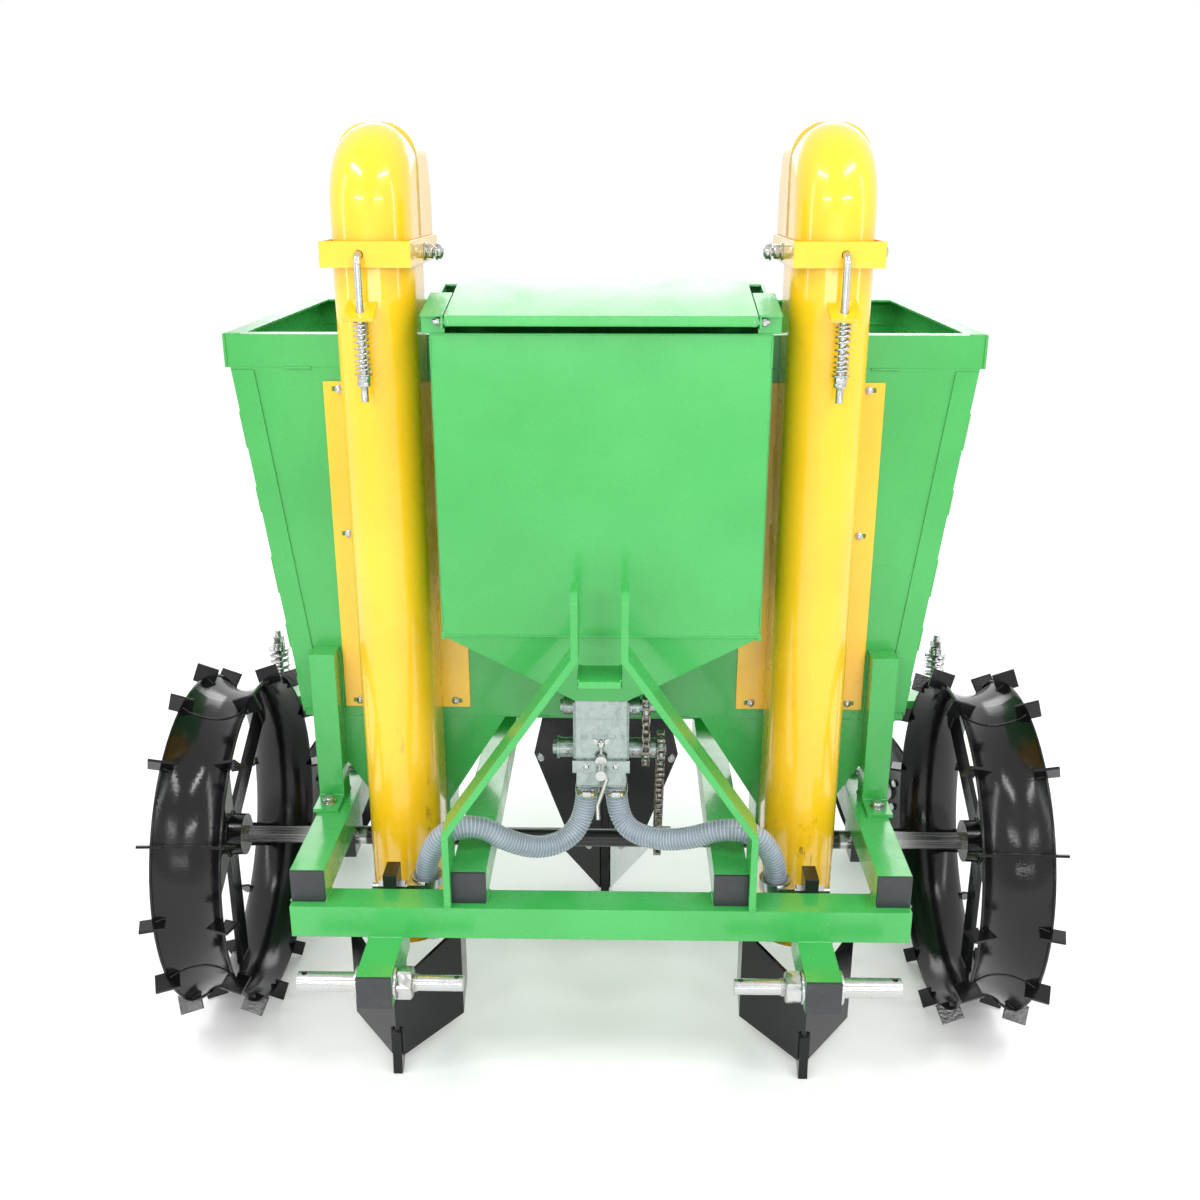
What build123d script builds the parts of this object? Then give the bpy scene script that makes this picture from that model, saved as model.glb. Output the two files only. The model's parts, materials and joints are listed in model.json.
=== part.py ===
from build123d import *
from math import cos, pi, radians, sin, sqrt, tan
import os

# Two-row potato planter with a fertiliser hopper, carried on a tractor's three-point hitch.
# Sizes are in millimetres. X runs along the axle, Y runs rearwards and Z runs up from the ground.
# While the pieces are made, Y = 0 is the axle line. They are written with the origin at the
# centre of the footprint, on the ground.

# --- Driving dimensions -------------------------------------------------------------------

ROW_SPACING = 625.0
ROW_X = ROW_SPACING / 2
SHEET = 3.0                     # hopper and duct sheet
RUN_FIT = 0.05                  # radial clearance of a shaft in its bearing
BOLT_FIT = 0.3                  # radial clearance of a bolt in its hole
GAP = 0.5                       # side clearance beside a turning piece

# Frame of square tube
TUBE = 50.0
TUBE_WALL = 4.0
CAP_THICKNESS = 5.0
BEAM_LENGTH = ROW_SPACING + 275.0
BEAM_FRONT_Y = -264.0
BEAM_BOTTOM_Z = 263.0
RAIL_FRONT_Y = -251.0
RAIL_REAR_Y = 342.0
RAIL_BOLT_Y = 81.0
OUTER_RAIL_X = ROW_X + 112.5
INNER_RAIL_X = ROW_X - 122.5
TOOLBAR_LENGTH = ROW_SPACING + 655.0
TOOLBAR_HEIGHT = 40.0

# Hitch
HITCH_ARM_FRONT_Y = -363.0
LINK_PIN_Y = -336.0
LINK_PIN_RADIUS = 14.0
LINK_PIN_INNER_RADIUS = 11.0
LINK_PIN_OUTER_LENGTH = 82.5
LINK_PIN_INNER_LENGTH = 65.0
LINK_THREAD_RADIUS = 12.0
LINK_NUT_FLATS = 41.0
MAST_THICKNESS = 10.0
MAST_DEPTH = 60.0
MAST_TOP_Z = 795.0
MAST_GAP = 58.0
MAST_KNEE_Z = 432.0
MAST_NECK_Z = 700.0
TOP_LINK_Z = 768.0
TOP_LINK_RADIUS = 9.75
MAST_SPACER_Z = 659.0

# Axle and lugged wheels
AXLE_RADIUS = 15.0
AXLE_HEX_FLATS = 27.0
AXLE_ROUND_X = ROW_X + 139.5
AXLE_END_X = ROW_X + 332.5
BEARING_WIDTH = 40.0
BEARING_DEPTH = 60.0
BEARING_DROP = 24.0
WHEEL_X = ROW_X + 289.0
TREAD_WIDTH = 103.0
TREAD_EDGE_RADIUS = 264.0
TREAD_SAG = 25.0
TREAD_THICKNESS = 4.0
LUG_COUNT = 14
LUG_TIP_RADIUS = 287.0
LUG_WIDTH = 36.0
LUG_HEIGHT = 30.0
LUG_THICKNESS = 4.0
LUG_TILT = 18.0
HUB_RADIUS = 34.0
HUB_LENGTH = 58.0
HUB_X = WHEEL_X + 20.0
SPOKE_COUNT = 6
SPOKE_WIDTH = 40.0
SPOKE_THICKNESS = 8.0

# Potato hopper
HOPPER_FRONT_Y = 12.0
HOPPER_REAR_Y = 593.0
HOPPER_FLOOR_REAR_Y = 150.0
HOPPER_BOTTOM_Z = 492.0
HOPPER_KNEE_Z = 800.0
HOPPER_TOP_Z = 1050.0
HOPPER_TOP_HALF = ROW_X + 235.5
HOPPER_BOTTOM_HALF = ROW_X + 167.5
RIM_HEIGHT = 48.0
RIM_OVERHANG = 8.0
RIM_FLANGE = 28.0
POST_SIZE = 40.0
POST_GAP = 4.5                  # room between a post and the duct flange beside it
POST_TOP_Z = 612.0
FOOT_PLATE_LENGTH = 47.0
FOOT_PLATE_THICKNESS = 6.0
BOOT_TOP_INNER_X = ROW_X - 155.5
BOOT_TOP_OUTER_X = ROW_X + 157.5
BOOT_HALF = 60.0
BOOT_NECK_Z = 340.0
BOOT_BOTTOM_Z = 232.0
BOOT_REAR_Y = 115.0

# Seed ducts, caps and collars
DUCT_RADIUS = 56.0
DUCT_CENTRE_Y = -60.0
DUCT_FRONT_Y = DUCT_CENTRE_Y - DUCT_RADIUS
DUCT_BOTTOM_Z = 152.0
DUCT_TOP_Z = 1203.0
AXLE_NOTCH_GAP = 6.5            # room round the axle in a duct's back edge
FLANGE_HALF = DUCT_RADIUS + 44.0
FLANGE_BOTTOM_Z = 510.0
FLANGE_TOP_Z = 1030.0
FLANGE_BOLT_X = DUCT_RADIUS + 24.0
FLANGE_BOLT_Z = (521.0, 798.0, 1019.0)
CAP_HALF = DUCT_RADIUS - 1.0
CAP_BOTTOM_Z = DUCT_TOP_Z + 24.0
CAP_CENTRE_Z = DUCT_TOP_Z + 67.0
CAP_RADIUS = CAP_HALF - DUCT_CENTRE_Y
CAP_CORNER = 44.0                # rounding of the cap's rear box along its top
COLLAR_HALF = DUCT_RADIUS + 4.5
COLLAR_FRONT_Y = DUCT_FRONT_Y - 6.0
COLLAR_REAR_Y = CAP_RADIUS + 4.0
COLLAR_BOTTOM_Z = DUCT_TOP_Z - 3.0
COLLAR_TOP_Z = DUCT_TOP_Z + 31.0

# Tension hooks
HOOK_RADIUS = 5.0
HOOK_OFFSET_X = 8.0
HOOK_Y = DUCT_FRONT_Y - 20.0
HOOK_HOLE_Z = DUCT_TOP_Z + 14.0
HOOK_BEND = 11.0
HOOK_END_Z = DUCT_TOP_Z - 178.0
BRACKET_Z = DUCT_TOP_Z - 64.0
BRACKET_THICKNESS = 6.0
BRACKET_HALF = 20.0
BRACKET_TILT = 26.0
HOOK_SPRING_RADIUS = 11.0
HOOK_SPRING_BOTTOM_Z = BRACKET_Z - 76.0
HOOK_SPRING_TOP_Z = BRACKET_Z - HOOK_SPRING_RADIUS * tan(radians(BRACKET_TILT))

# Cup belts
DRUM_RADIUS = 57.0
DRUM_WIDTH = 80.0
BELT_GAP = 0.3
BELT_THICKNESS = 4.0
BELT_WIDTH = 50.0
TOP_ROLLER_Z = DUCT_TOP_Z + 12.0
ROLLER_BOLT_RADIUS = 6.0
ROLLER_BOLT_HALF = COLLAR_HALF + 27.5
CUP_COUNT = 22
CUP_RADIUS = 22.0
CUP_BOTTOM_RADIUS = 14.0
CUP_DEPTH = 36.0
CUP_WALL = 2.5
CUP_FOOT_HALF = 12.0

# Chain drive
CHAIN_PITCH = 12.7
SPROCKET_TEETH = 12
SPROCKET_THICKNESS = 5.0
CHAIN_ROLLER_RADIUS = 4.0
CHAIN_PLATE_HALF = 4.5
CHAIN_PLATE_GAP = 3.2
CHAIN_PLATE_THICKNESS = 1.5
METER_CHAIN_X = 67.0
DRIVE_CHAIN_X = 90.0

# Fertiliser hopper and metering unit
FERT_HALF = ROW_X - DUCT_RADIUS - 31.5
FERT_FRONT_Y = -160.0
FERT_BOX_BOTTOM_Z = 695.0
FERT_FRONT_TOP_Z = 1119.0
FERT_SLOPE_FRONT_Z = 1143.0
FERT_SLOPE_REAR_Z = 1176.0
CHEEK_OUTER_X = FERT_HALF + 11.0
LID_HALF = FERT_HALF - 21.0
LID_FRONT_Y = -172.0
LID_REAR_Y = 6.0
LID_THICKNESS = 2.5
LID_LIP = 13.0
HINGE_ROD_RADIUS = 4.0
HINGE_Y = -165.0
HINGE_Z = 1135.0
CHEEK_DEPTH = 92.0
METER_Y = -98.0
METER_HALF = 39.0
METER_TOP_Z = 586.0
METER_BOTTOM_Z = 471.0
METER_FLANGE_TOP_Z = 491.0
METER_FLANGE = 4.0
AGITATOR_Z = 561.0
METER_SHAFT_Z = 492.0
METER_SHAFT_RADIUS = 10.0
METER_COLLAR_RADIUS = 15.0
FLUTED_ROLLER_RADIUS = 20.0
FLUTE_COUNT = 8
FLUTE_RADIUS = 5.0
OUTLET_BOTTOM_Z = 445.0
OUTLET_HALF = 37.0
SPIGOT_X = 22.0
SPIGOT_RADIUS = 13.0
SPIGOT_LENGTH = 32.0
SPIGOT_WALL = 2.0
LEVER_Z = 478.0
LEVER_RADIUS = 3.5

# Fertiliser hoses
HOSE_DIAMETER = 34.0
RING_X = ROW_X - 48.5
RING_Y = -170.0
RING_Z = 305.0
RING_RADIUS = 24.0
RING_HEIGHT = 14.0

# Furrow openers
OPENER_TIP_Y = -240.0
OPENER_APEX_Y = -235.0
OPENER_SHOULDER_Y = -120.0
OPENER_REAR_Y = -65.0
OPENER_HALF = 88.0
OPENER_BOTTOM_Z = 22.0
OPENER_FRONT_TOP_Z = 150.0
OPENER_TOP_Z = 182.0
OPENER_PLATE = 5.0
NOSE_HALF = 7.0
SHANK_HALF = 10.0
SHANK_DEPTH = 40.0
SHANK_TOP_Z = 335.0

# Centre ridger
RIDGER_TIP_Y = 275.0
RIDGER_FACE_Y = 285.0
RIDGER_PLATE = 6.0
RIDGER_RIB_HALF = 8.0
SHARE_THICKNESS = 4.0
RIDGER_CORNER = (142.0, 240.0)
RIDGER_SHANK_TOP_Z = 440.0

# Covering discs
DISC_RADIUS = 145.0
DISC_DISH = 35.0
DISC_THICKNESS = 4.0
DISC_X = ROW_X + 257.5
DISC_Y = 430.0
DISC_Z = 150.0
DISC_TOE = 25.0
STUB_RADIUS = 8.0
STUB_LENGTH = 47.0
DISC_PIVOT_Y = 358.0
DISC_PIVOT_Z = 340.0
DISC_PIVOT_RADIUS = 8.0
DISC_PIVOT_TUBE_RADIUS = 14.0
PULL_ROD_X = ROW_X + 293.0
ARM_X = (PULL_ROD_X + 7.5, PULL_ROD_X + 17.5)
LEVER_PLATE_X = (PULL_ROD_X + 6.5, PULL_ROD_X + 14.5)
EAR_X = ((PULL_ROD_X - 17.5, PULL_ROD_X - 11.5), (PULL_ROD_X + 20.5, PULL_ROD_X + 26.5))
PULL_ROD_RADIUS = 6.0
PULL_EYE_RISE = 5.0
DISC_SPRING_RADIUS = 19.0
DISC_SPRING_WIRE = 6.0
DISC_SPRING_LENGTH = 84.0

# --- Sizes that follow --------------------------------------------------------------------

BEAM_TOP_Z = BEAM_BOTTOM_Z + TUBE
BEAM_REAR_Y = BEAM_FRONT_Y + TUBE
RAIL_TOP_Z = BEAM_TOP_Z + TUBE
TOOLBAR_FRONT_Y = RAIL_REAR_Y - TUBE
TOOLBAR_TOP_Z = RAIL_TOP_Z + TOOLBAR_HEIGHT
ARM_BOTTOM_Z = BEAM_BOTTOM_Z - TUBE
LINK_PIN_Z = BEAM_BOTTOM_Z - TUBE / 2
MAST_Y = BEAM_FRONT_Y + MAST_DEPTH / 2
LUG_STEP = 360 / LUG_COUNT
AXLE_Z = LUG_TIP_RADIUS * cos(pi / LUG_COUNT) + LUG_THICKNESS / 2 * sin(pi / LUG_COUNT)
SPROCKET_RADIUS = CHAIN_PITCH / 2 / sin(pi / SPROCKET_TEETH)
HOPPER_RIM_TOP_Z = HOPPER_TOP_Z + RIM_HEIGHT
BELT_INNER = DRUM_RADIUS + BELT_GAP
BELT_OUTER = BELT_INNER + BELT_THICKNESS
METER_FRONT_Y = METER_Y - METER_HALF
METER_REAR_Y = METER_Y + METER_HALF
POST_X = ROW_X + FLANGE_HALF + POST_GAP + POST_SIZE / 2
POST_FRONT_Y = HOPPER_FRONT_Y - POST_SIZE
FERT_REAR_Y = HOPPER_FRONT_Y - SHEET
SHANK_FRONT_Y = BEAM_REAR_Y
SHANK_REAR_Y = SHANK_FRONT_Y + SHANK_DEPTH
PULL_ROD_Y = TOOLBAR_FRONT_Y + TUBE / 2
DISC_SPRING_TOP_Z = TOOLBAR_TOP_Z + DISC_SPRING_LENGTH
PULL_ROD_TOP_Z = DISC_SPRING_TOP_Z + 37.0
COLLAR_INNER_FRONT_Y = COLLAR_FRONT_Y + SHEET
FOOT_BOLTS = [(side * POST_X, POST_FRONT_Y - FOOT_PLATE_LENGTH / 2) for side in (-1, 1)]
RAIL_BOLTS = [(side * OUTER_RAIL_X, RAIL_BOLT_Y) for side in (-1, 1)]
FLANGE_BOLTS = [(side * ROW_X + edge * FLANGE_BOLT_X, height)
                for side in (-1, 1) for edge in (-1, 1) for height in FLANGE_BOLT_Z]

# Free route of the left and the right hose, from the outlet box to just above the furrow opener.
LEFT_HOSE_ROUTE = [
    (-22, -98, 445), (-22, -98, 388), (-46, -118, 347), (-92, -142, 340),
    (-142, -165, 367), (-181, -176, 400), (-232, -181, 394), (-262, -174, 345),
    (-265, -169, 296), (-264, -160, 244), (-260, -150, 196)]
RIGHT_HOSE_ROUTE = [
    (22, -98, 445), (22, -98, 392), (42, -119, 360), (88, -144, 359),
    (136, -164, 374), (180, -176, 398), (231, -181, 394), (262, -174, 347),
    (265, -169, 297), (263, -160, 245), (258, -151, 198)]


# --- Building blocks ----------------------------------------------------------------------

def block(x, y, z):
    """A box between two limits along each axis."""
    size = Box(x[1] - x[0], y[1] - y[0], z[1] - z[0])
    return Pos((x[0] + x[1]) / 2, (y[0] + y[1]) / 2, (z[0] + z[1]) / 2) * size


def rod_x(radius, x, y, z):
    """A round bar along X."""
    return Pos((x[0] + x[1]) / 2, y, z) * Rot(0, 90, 0) * Cylinder(radius, x[1] - x[0])


def rod_y(radius, x, y, z):
    """A round bar along Y."""
    return Pos(x, (y[0] + y[1]) / 2, z) * Rot(90, 0, 0) * Cylinder(radius, y[1] - y[0])


def rod_z(radius, x, y, z):
    """A round bar along Z."""
    return Pos(x, y, (z[0] + z[1]) / 2) * Cylinder(radius, z[1] - z[0])


def hexagon(flats, length):
    """A hexagonal bar standing on the origin."""
    return extrude(RegularPolygon(flats / 2, 6, major_radius=False), length)


def hex_x(flats, x, y, z):
    """A hexagonal bar along X."""
    return Pos(x[0], y, z) * Rot(0, 90, 0) * hexagon(flats, x[1] - x[0])


def hex_y(flats, x, y, z):
    """A hexagonal bar along Y."""
    return Pos(x, y[1], z) * Rot(90, 0, 0) * hexagon(flats, y[1] - y[0])


def hex_z(flats, x, y, z):
    """A hexagonal bar along Z."""
    return Pos(x, y, z[0]) * hexagon(flats, z[1] - z[0])


def prism(points, along):
    """A flat outline pushed along a vector."""
    return Solid.extrude(Face(Wire.make_polygon(points)), Vector(*along))


def prism_x(outline, x):
    """A (Y, Z) outline pushed along X."""
    return prism([(x[0], y, z) for y, z in outline], (x[1] - x[0], 0, 0))


def prism_y(outline, y):
    """An (X, Z) outline pushed along Y."""
    return prism([(x, y[0], z) for x, z in outline], (0, y[1] - y[0], 0))


def prism_z(outline, z):
    """An (X, Y) outline pushed along Z."""
    return prism([(x, y, z[0]) for x, y in outline], (0, 0, z[1] - z[0]))


def tapered(low, high):
    """A straight-sided solid between two level rectangles, each (x limits, y limits, z)."""
    wires = []
    for x, y, z in (low, high):
        corners = [(x[0], y[0], z), (x[1], y[0], z), (x[1], y[1], z), (x[0], y[1], z)]
        wires.append(Wire.make_polygon(corners))
    return Solid.make_loft(wires, ruled=True)


def square_tube(x, y, z, along):
    """A hollow square tube, open at both ends along one axis."""
    limits = [x, y, z]
    inner = [(low + TUBE_WALL, high - TUBE_WALL) for low, high in limits]
    inner["XYZ".index(along)] = (limits["XYZ".index(along)][0] - 1, limits["XYZ".index(along)][1] + 1)
    return block(x, y, z) - block(*inner)


def strip(points, thickness):
    """The closed outline of a bent flat bar whose outer face follows the points."""
    inner = []
    for index, (x, y) in enumerate(points):
        before = points[max(index - 1, 0)]
        after = points[min(index + 1, len(points) - 1)]
        normals = []
        for start, end in ((before, (x, y)), ((x, y), after)):
            run = sqrt((end[0] - start[0]) ** 2 + (end[1] - start[1]) ** 2)
            if run:
                normals.append((-(end[1] - start[1]) / run, (end[0] - start[0]) / run))
        first, last = normals[0], normals[-1]
        spread = 1 + first[0] * last[0] + first[1] * last[1]
        shift = ((first[0] + last[0]) / spread, (first[1] + last[1]) / spread)
        inner.append((x + thickness * shift[0], y + thickness * shift[1]))
    return points + inner[::-1]


def mirrored(shape):
    """The same piece on the machine's other side."""
    return mirror(shape, about=Plane.YZ)


def both_sides(shape):
    """A piece on the right and its mirror image on the left."""
    return [shape, mirrored(shape)]


def about_axle(shape, angle):
    """A piece turned about the axle line."""
    return Pos(0, 0, AXLE_Z) * Rot(angle, 0, 0) * Pos(0, 0, -AXLE_Z) * shape


def racetrack(radius, first, last, x):
    """The space inside a loop round two centres, each (Y, Z), pushed along X."""
    run = Vector(0, last[0] - first[0], last[1] - first[1])
    across = Vector(0, run.Z, -run.Y).normalized() * radius
    corners = [(first[0] + across.Y, first[1] + across.Z), (last[0] + across.Y, last[1] + across.Z),
               (last[0] - across.Y, last[1] - across.Z), (first[0] - across.Y, first[1] - across.Z)]
    ends = rod_x(radius, x, *first) + rod_x(radius, x, *last)
    return ends + prism_x(corners, x)


# --- Frame --------------------------------------------------------------------------------

def crossbeam():
    """The front crossbeam with its welded end plates."""
    half = BEAM_LENGTH / 2
    y = (BEAM_FRONT_Y, BEAM_REAR_Y)
    z = (BEAM_BOTTOM_Z, BEAM_TOP_Z)
    beam = square_tube((-half, half), y, z, "X")
    for side in both_sides(block((half - TUBE_WALL, half), y, z)):
        beam += side
    return beam


def rails(centre_x):
    """A pair of rails that lie on the crossbeam, drilled for the frame bolts."""
    x = (centre_x - TUBE / 2, centre_x + TUBE / 2)
    rail = square_tube(x, (RAIL_FRONT_Y + CAP_THICKNESS, RAIL_REAR_Y), (BEAM_TOP_Z, RAIL_TOP_Z), "Y")
    if centre_x == OUTER_RAIL_X:
        for bolt_x, bolt_y in (FOOT_BOLTS[1], RAIL_BOLTS[1]):
            rail -= rod_z(6 + BOLT_FIT, bolt_x, bolt_y, (RAIL_TOP_Z - 10, RAIL_TOP_Z + 1))
    return both_sides(rail)


def toolbar():
    """The rear toolbar with the ears that carry the disc arms."""
    half = TOOLBAR_LENGTH / 2
    bar = block((-half, half), (TOOLBAR_FRONT_Y, RAIL_REAR_Y), (RAIL_TOP_Z, TOOLBAR_TOP_Z))
    bar -= block((-half - 1, half + 1), (TOOLBAR_FRONT_Y + TUBE_WALL, RAIL_REAR_Y - TUBE_WALL),
                 (RAIL_TOP_Z + TUBE_WALL, TOOLBAR_TOP_Z - TUBE_WALL))
    ear_outline = [(RAIL_REAR_Y, TOOLBAR_TOP_Z - 4), (RAIL_REAR_Y, DISC_PIVOT_Z - 14),
                   (DISC_PIVOT_Y + 16, DISC_PIVOT_Z - 14), (DISC_PIVOT_Y + 16, DISC_PIVOT_Z + 20)]
    for x in EAR_X:
        ear = prism_x(ear_outline, x)
        ear -= rod_x(DISC_PIVOT_RADIUS + BOLT_FIT, (x[0] - 1, x[1] + 1), DISC_PIVOT_Y, DISC_PIVOT_Z)
        for side in both_sides(ear):
            bar += side
    for side in (-1, 1):
        bar -= rod_z(PULL_ROD_RADIUS + 2, side * PULL_ROD_X, PULL_ROD_Y, (RAIL_TOP_Z - 1, TOOLBAR_TOP_Z + 1))
    return bar


def hitch_arm():
    """A short arm under the crossbeam, drilled for the lower link pin."""
    x = (ROW_X - TUBE / 2, ROW_X + TUBE / 2)
    arm = square_tube(x, (HITCH_ARM_FRONT_Y + CAP_THICKNESS, BEAM_REAR_Y), (ARM_BOTTOM_Z, BEAM_BOTTOM_Z), "Y")
    return arm - rod_x(LINK_THREAD_RADIUS + BOLT_FIT, (x[0] - 1, x[1] + 1), LINK_PIN_Y, LINK_PIN_Z)


def tube_caps():
    """Plastic end caps on the rails, the hitch arms and the toolbar."""
    caps = []
    for centre in (OUTER_RAIL_X, INNER_RAIL_X):
        x = (centre - TUBE / 2, centre + TUBE / 2)
        caps += both_sides(block(x, (RAIL_FRONT_Y, RAIL_FRONT_Y + CAP_THICKNESS), (BEAM_TOP_Z, RAIL_TOP_Z)))
        caps += both_sides(block(x, (RAIL_REAR_Y, RAIL_REAR_Y + CAP_THICKNESS), (BEAM_TOP_Z, RAIL_TOP_Z)))
    x = (ROW_X - TUBE / 2, ROW_X + TUBE / 2)
    y = (HITCH_ARM_FRONT_Y, HITCH_ARM_FRONT_Y + CAP_THICKNESS)
    caps += both_sides(block(x, y, (ARM_BOTTOM_Z, BEAM_BOTTOM_Z)))
    end = TOOLBAR_LENGTH / 2
    caps += both_sides(block((end, end + CAP_THICKNESS), (TOOLBAR_FRONT_Y, RAIL_REAR_Y),
                             (RAIL_TOP_Z, TOOLBAR_TOP_Z)))
    return caps


def link_pin():
    """A stepped lower link pin: thick outside the arm, thinner inside, with a flange between."""
    arm_outer = ROW_X + TUBE / 2
    flange_outer = arm_outer + 4
    outer_end = flange_outer + LINK_PIN_OUTER_LENGTH
    nut_inner = ROW_X - TUBE / 2 - 32
    inner_end = nut_inner - LINK_PIN_INNER_LENGTH
    pin = rod_x(LINK_PIN_RADIUS, (flange_outer, outer_end), LINK_PIN_Y, LINK_PIN_Z)
    pin += rod_x(23, (arm_outer, flange_outer), LINK_PIN_Y, LINK_PIN_Z)
    pin += rod_x(LINK_THREAD_RADIUS, (nut_inner, arm_outer), LINK_PIN_Y, LINK_PIN_Z)
    pin += rod_x(LINK_PIN_INNER_RADIUS, (inner_end, nut_inner), LINK_PIN_Y, LINK_PIN_Z)
    for hole_x in (outer_end - 9, inner_end + 9):
        pin -= rod_z(4, hole_x, LINK_PIN_Y, (LINK_PIN_Z - 20, LINK_PIN_Z + 20))
    return pin


def link_nut():
    """The washer and nut that clamp a lower link pin to its arm."""
    arm_inner = ROW_X - TUBE / 2
    washer = rod_x(23, (arm_inner - 4, arm_inner), LINK_PIN_Y, LINK_PIN_Z)
    nut = hex_x(LINK_NUT_FLATS, (arm_inner - 26, arm_inner - 4), LINK_PIN_Y, LINK_PIN_Z)
    bore = rod_x(LINK_THREAD_RADIUS + 0.1, (arm_inner - 30, arm_inner + 1), LINK_PIN_Y, LINK_PIN_Z)
    return [washer - bore, nut - bore]


def mast_bar():
    """A bent flat bar from the crossbeam up to the top link."""
    foot = INNER_RAIL_X + TUBE / 2 + MAST_THICKNESS
    neck = MAST_GAP / 2 + MAST_THICKNESS
    outer = [(foot, BEAM_TOP_Z), (foot, MAST_KNEE_Z), (neck, MAST_NECK_Z), (neck, MAST_TOP_Z)]
    bar = prism_y(strip(outer, MAST_THICKNESS), (BEAM_FRONT_Y, BEAM_FRONT_Y + MAST_DEPTH))
    top_edges = bar.edges().filter_by(Axis.X).group_by(Axis.Z)[-1]
    bar = fillet(top_edges, MAST_DEPTH * 0.3)
    return bar - rod_x(TOP_LINK_RADIUS, (neck - 30, neck + 10), MAST_Y, TOP_LINK_Z)


def mast_spacer():
    """The plate that holds the two mast bars apart."""
    half = MAST_GAP / 2
    y = (BEAM_FRONT_Y, BEAM_FRONT_Y + MAST_DEPTH)
    return block((-half, half), y, (MAST_SPACER_Z, MAST_SPACER_Z + MAST_THICKNESS))


def hopper_posts():
    """Front posts with bolted feet on the rails, and rear posts on the toolbar."""
    x = (POST_X - POST_SIZE / 2, POST_X + POST_SIZE / 2)
    front = block(x, (POST_FRONT_Y, HOPPER_FRONT_Y), (RAIL_TOP_Z, POST_TOP_Z))
    foot = block(x, (POST_FRONT_Y - FOOT_PLATE_LENGTH, POST_FRONT_Y),
                 (RAIL_TOP_Z, RAIL_TOP_Z + FOOT_PLATE_THICKNESS))
    bolt_x, bolt_y = FOOT_BOLTS[1]
    foot -= rod_z(6 + BOLT_FIT, bolt_x, bolt_y, (RAIL_TOP_Z - 1, RAIL_TOP_Z + 20))
    middle_y = (TOOLBAR_FRONT_Y + RAIL_REAR_Y) / 2
    rear = block(x, (middle_y - POST_SIZE / 2, middle_y + POST_SIZE / 2), (TOOLBAR_TOP_Z, POST_TOP_Z + 60))
    rear -= hopper_space(0)
    return both_sides(front + foot) + both_sides(rear)


def frame_bolts():
    """Hexagon bolts that hold the post feet and the axle bearings to the rails."""
    bolts = []
    for (x, y), seat in [(place, RAIL_TOP_Z + FOOT_PLATE_THICKNESS) for place in FOOT_BOLTS] + \
                        [(place, RAIL_TOP_Z) for place in RAIL_BOLTS]:
        washer = rod_z(12, x, y, (seat, seat + 2.5))
        bolts.append(washer + hex_z(19, x, y, (seat + 2.5, seat + 11)) + rod_z(6, x, y, (seat - 25, seat)))
    return bolts


# --- Axle and wheels ----------------------------------------------------------------------

def axle():
    """Round in the middle and hexagonal at both ends."""
    bar = rod_x(AXLE_RADIUS, (-AXLE_ROUND_X, AXLE_ROUND_X), 0, AXLE_Z)
    for end in both_sides(hex_x(AXLE_HEX_FLATS, (AXLE_ROUND_X, AXLE_END_X), 0, AXLE_Z)):
        bar += end
    return bar


def axle_bearing():
    """A bearing block bolted under an outer rail."""
    x = (OUTER_RAIL_X - BEARING_WIDTH / 2, OUTER_RAIL_X + BEARING_WIDTH / 2)
    body = block(x, (-BEARING_DEPTH / 2, BEARING_DEPTH / 2), (AXLE_Z - BEARING_DROP, BEAM_TOP_Z))
    return body - rod_x(AXLE_RADIUS + RUN_FIT, (x[0] - 1, x[1] + 1), 0, AXLE_Z)


def tread_profile(inset):
    """The arc of the saddle-shaped tread, moved in by an inset."""
    left = WHEEL_X - TREAD_WIDTH / 2
    right = WHEEL_X + TREAD_WIDTH / 2
    edge = AXLE_Z + TREAD_EDGE_RADIUS - inset
    return ThreePointArc((left, 0, edge), (WHEEL_X, 0, edge - TREAD_SAG), (right, 0, edge))


def turned_on_axle(lines):
    """The solid swept by a closed outline about the axle line."""
    return revolve(make_face(lines), Axis((0, 0, AXLE_Z), (1, 0, 0)), 360)


def wheel_tread():
    """The rolled rim with its raised edges."""
    outer = tread_profile(0)
    inner = tread_profile(TREAD_THICKNESS)
    return turned_on_axle([outer, inner, Line(outer @ 0, inner @ 0), Line(outer @ 1, inner @ 1)])


def wheel_lugs():
    """Flat lugs that stand across both edges of the tread."""
    outer = tread_profile(0)
    low_left = (WHEEL_X - TREAD_WIDTH / 2, 0, AXLE_Z)
    low_right = (WHEEL_X + TREAD_WIDTH / 2, 0, AXLE_Z)
    under = turned_on_axle([outer, Line(outer @ 0, low_left), Line(low_left, low_right),
                            Line(low_right, outer @ 1)])
    reach = LUG_WIDTH / 2 * sin(radians(LUG_TILT)) + LUG_HEIGHT / 2 * cos(radians(LUG_TILT))
    plate = Box(LUG_WIDTH, LUG_THICKNESS, LUG_HEIGHT)
    lugs = []
    for edge in (-1, 1):
        place = Pos(WHEEL_X + edge * TREAD_WIDTH / 2, 0, AXLE_Z + LUG_TIP_RADIUS - reach)
        lug = place * Rot(0, -edge * LUG_TILT, 0) * plate - under
        lugs += [about_axle(lug, 90 + LUG_STEP * index) for index in range(LUG_COUNT)]
    return lugs


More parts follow.
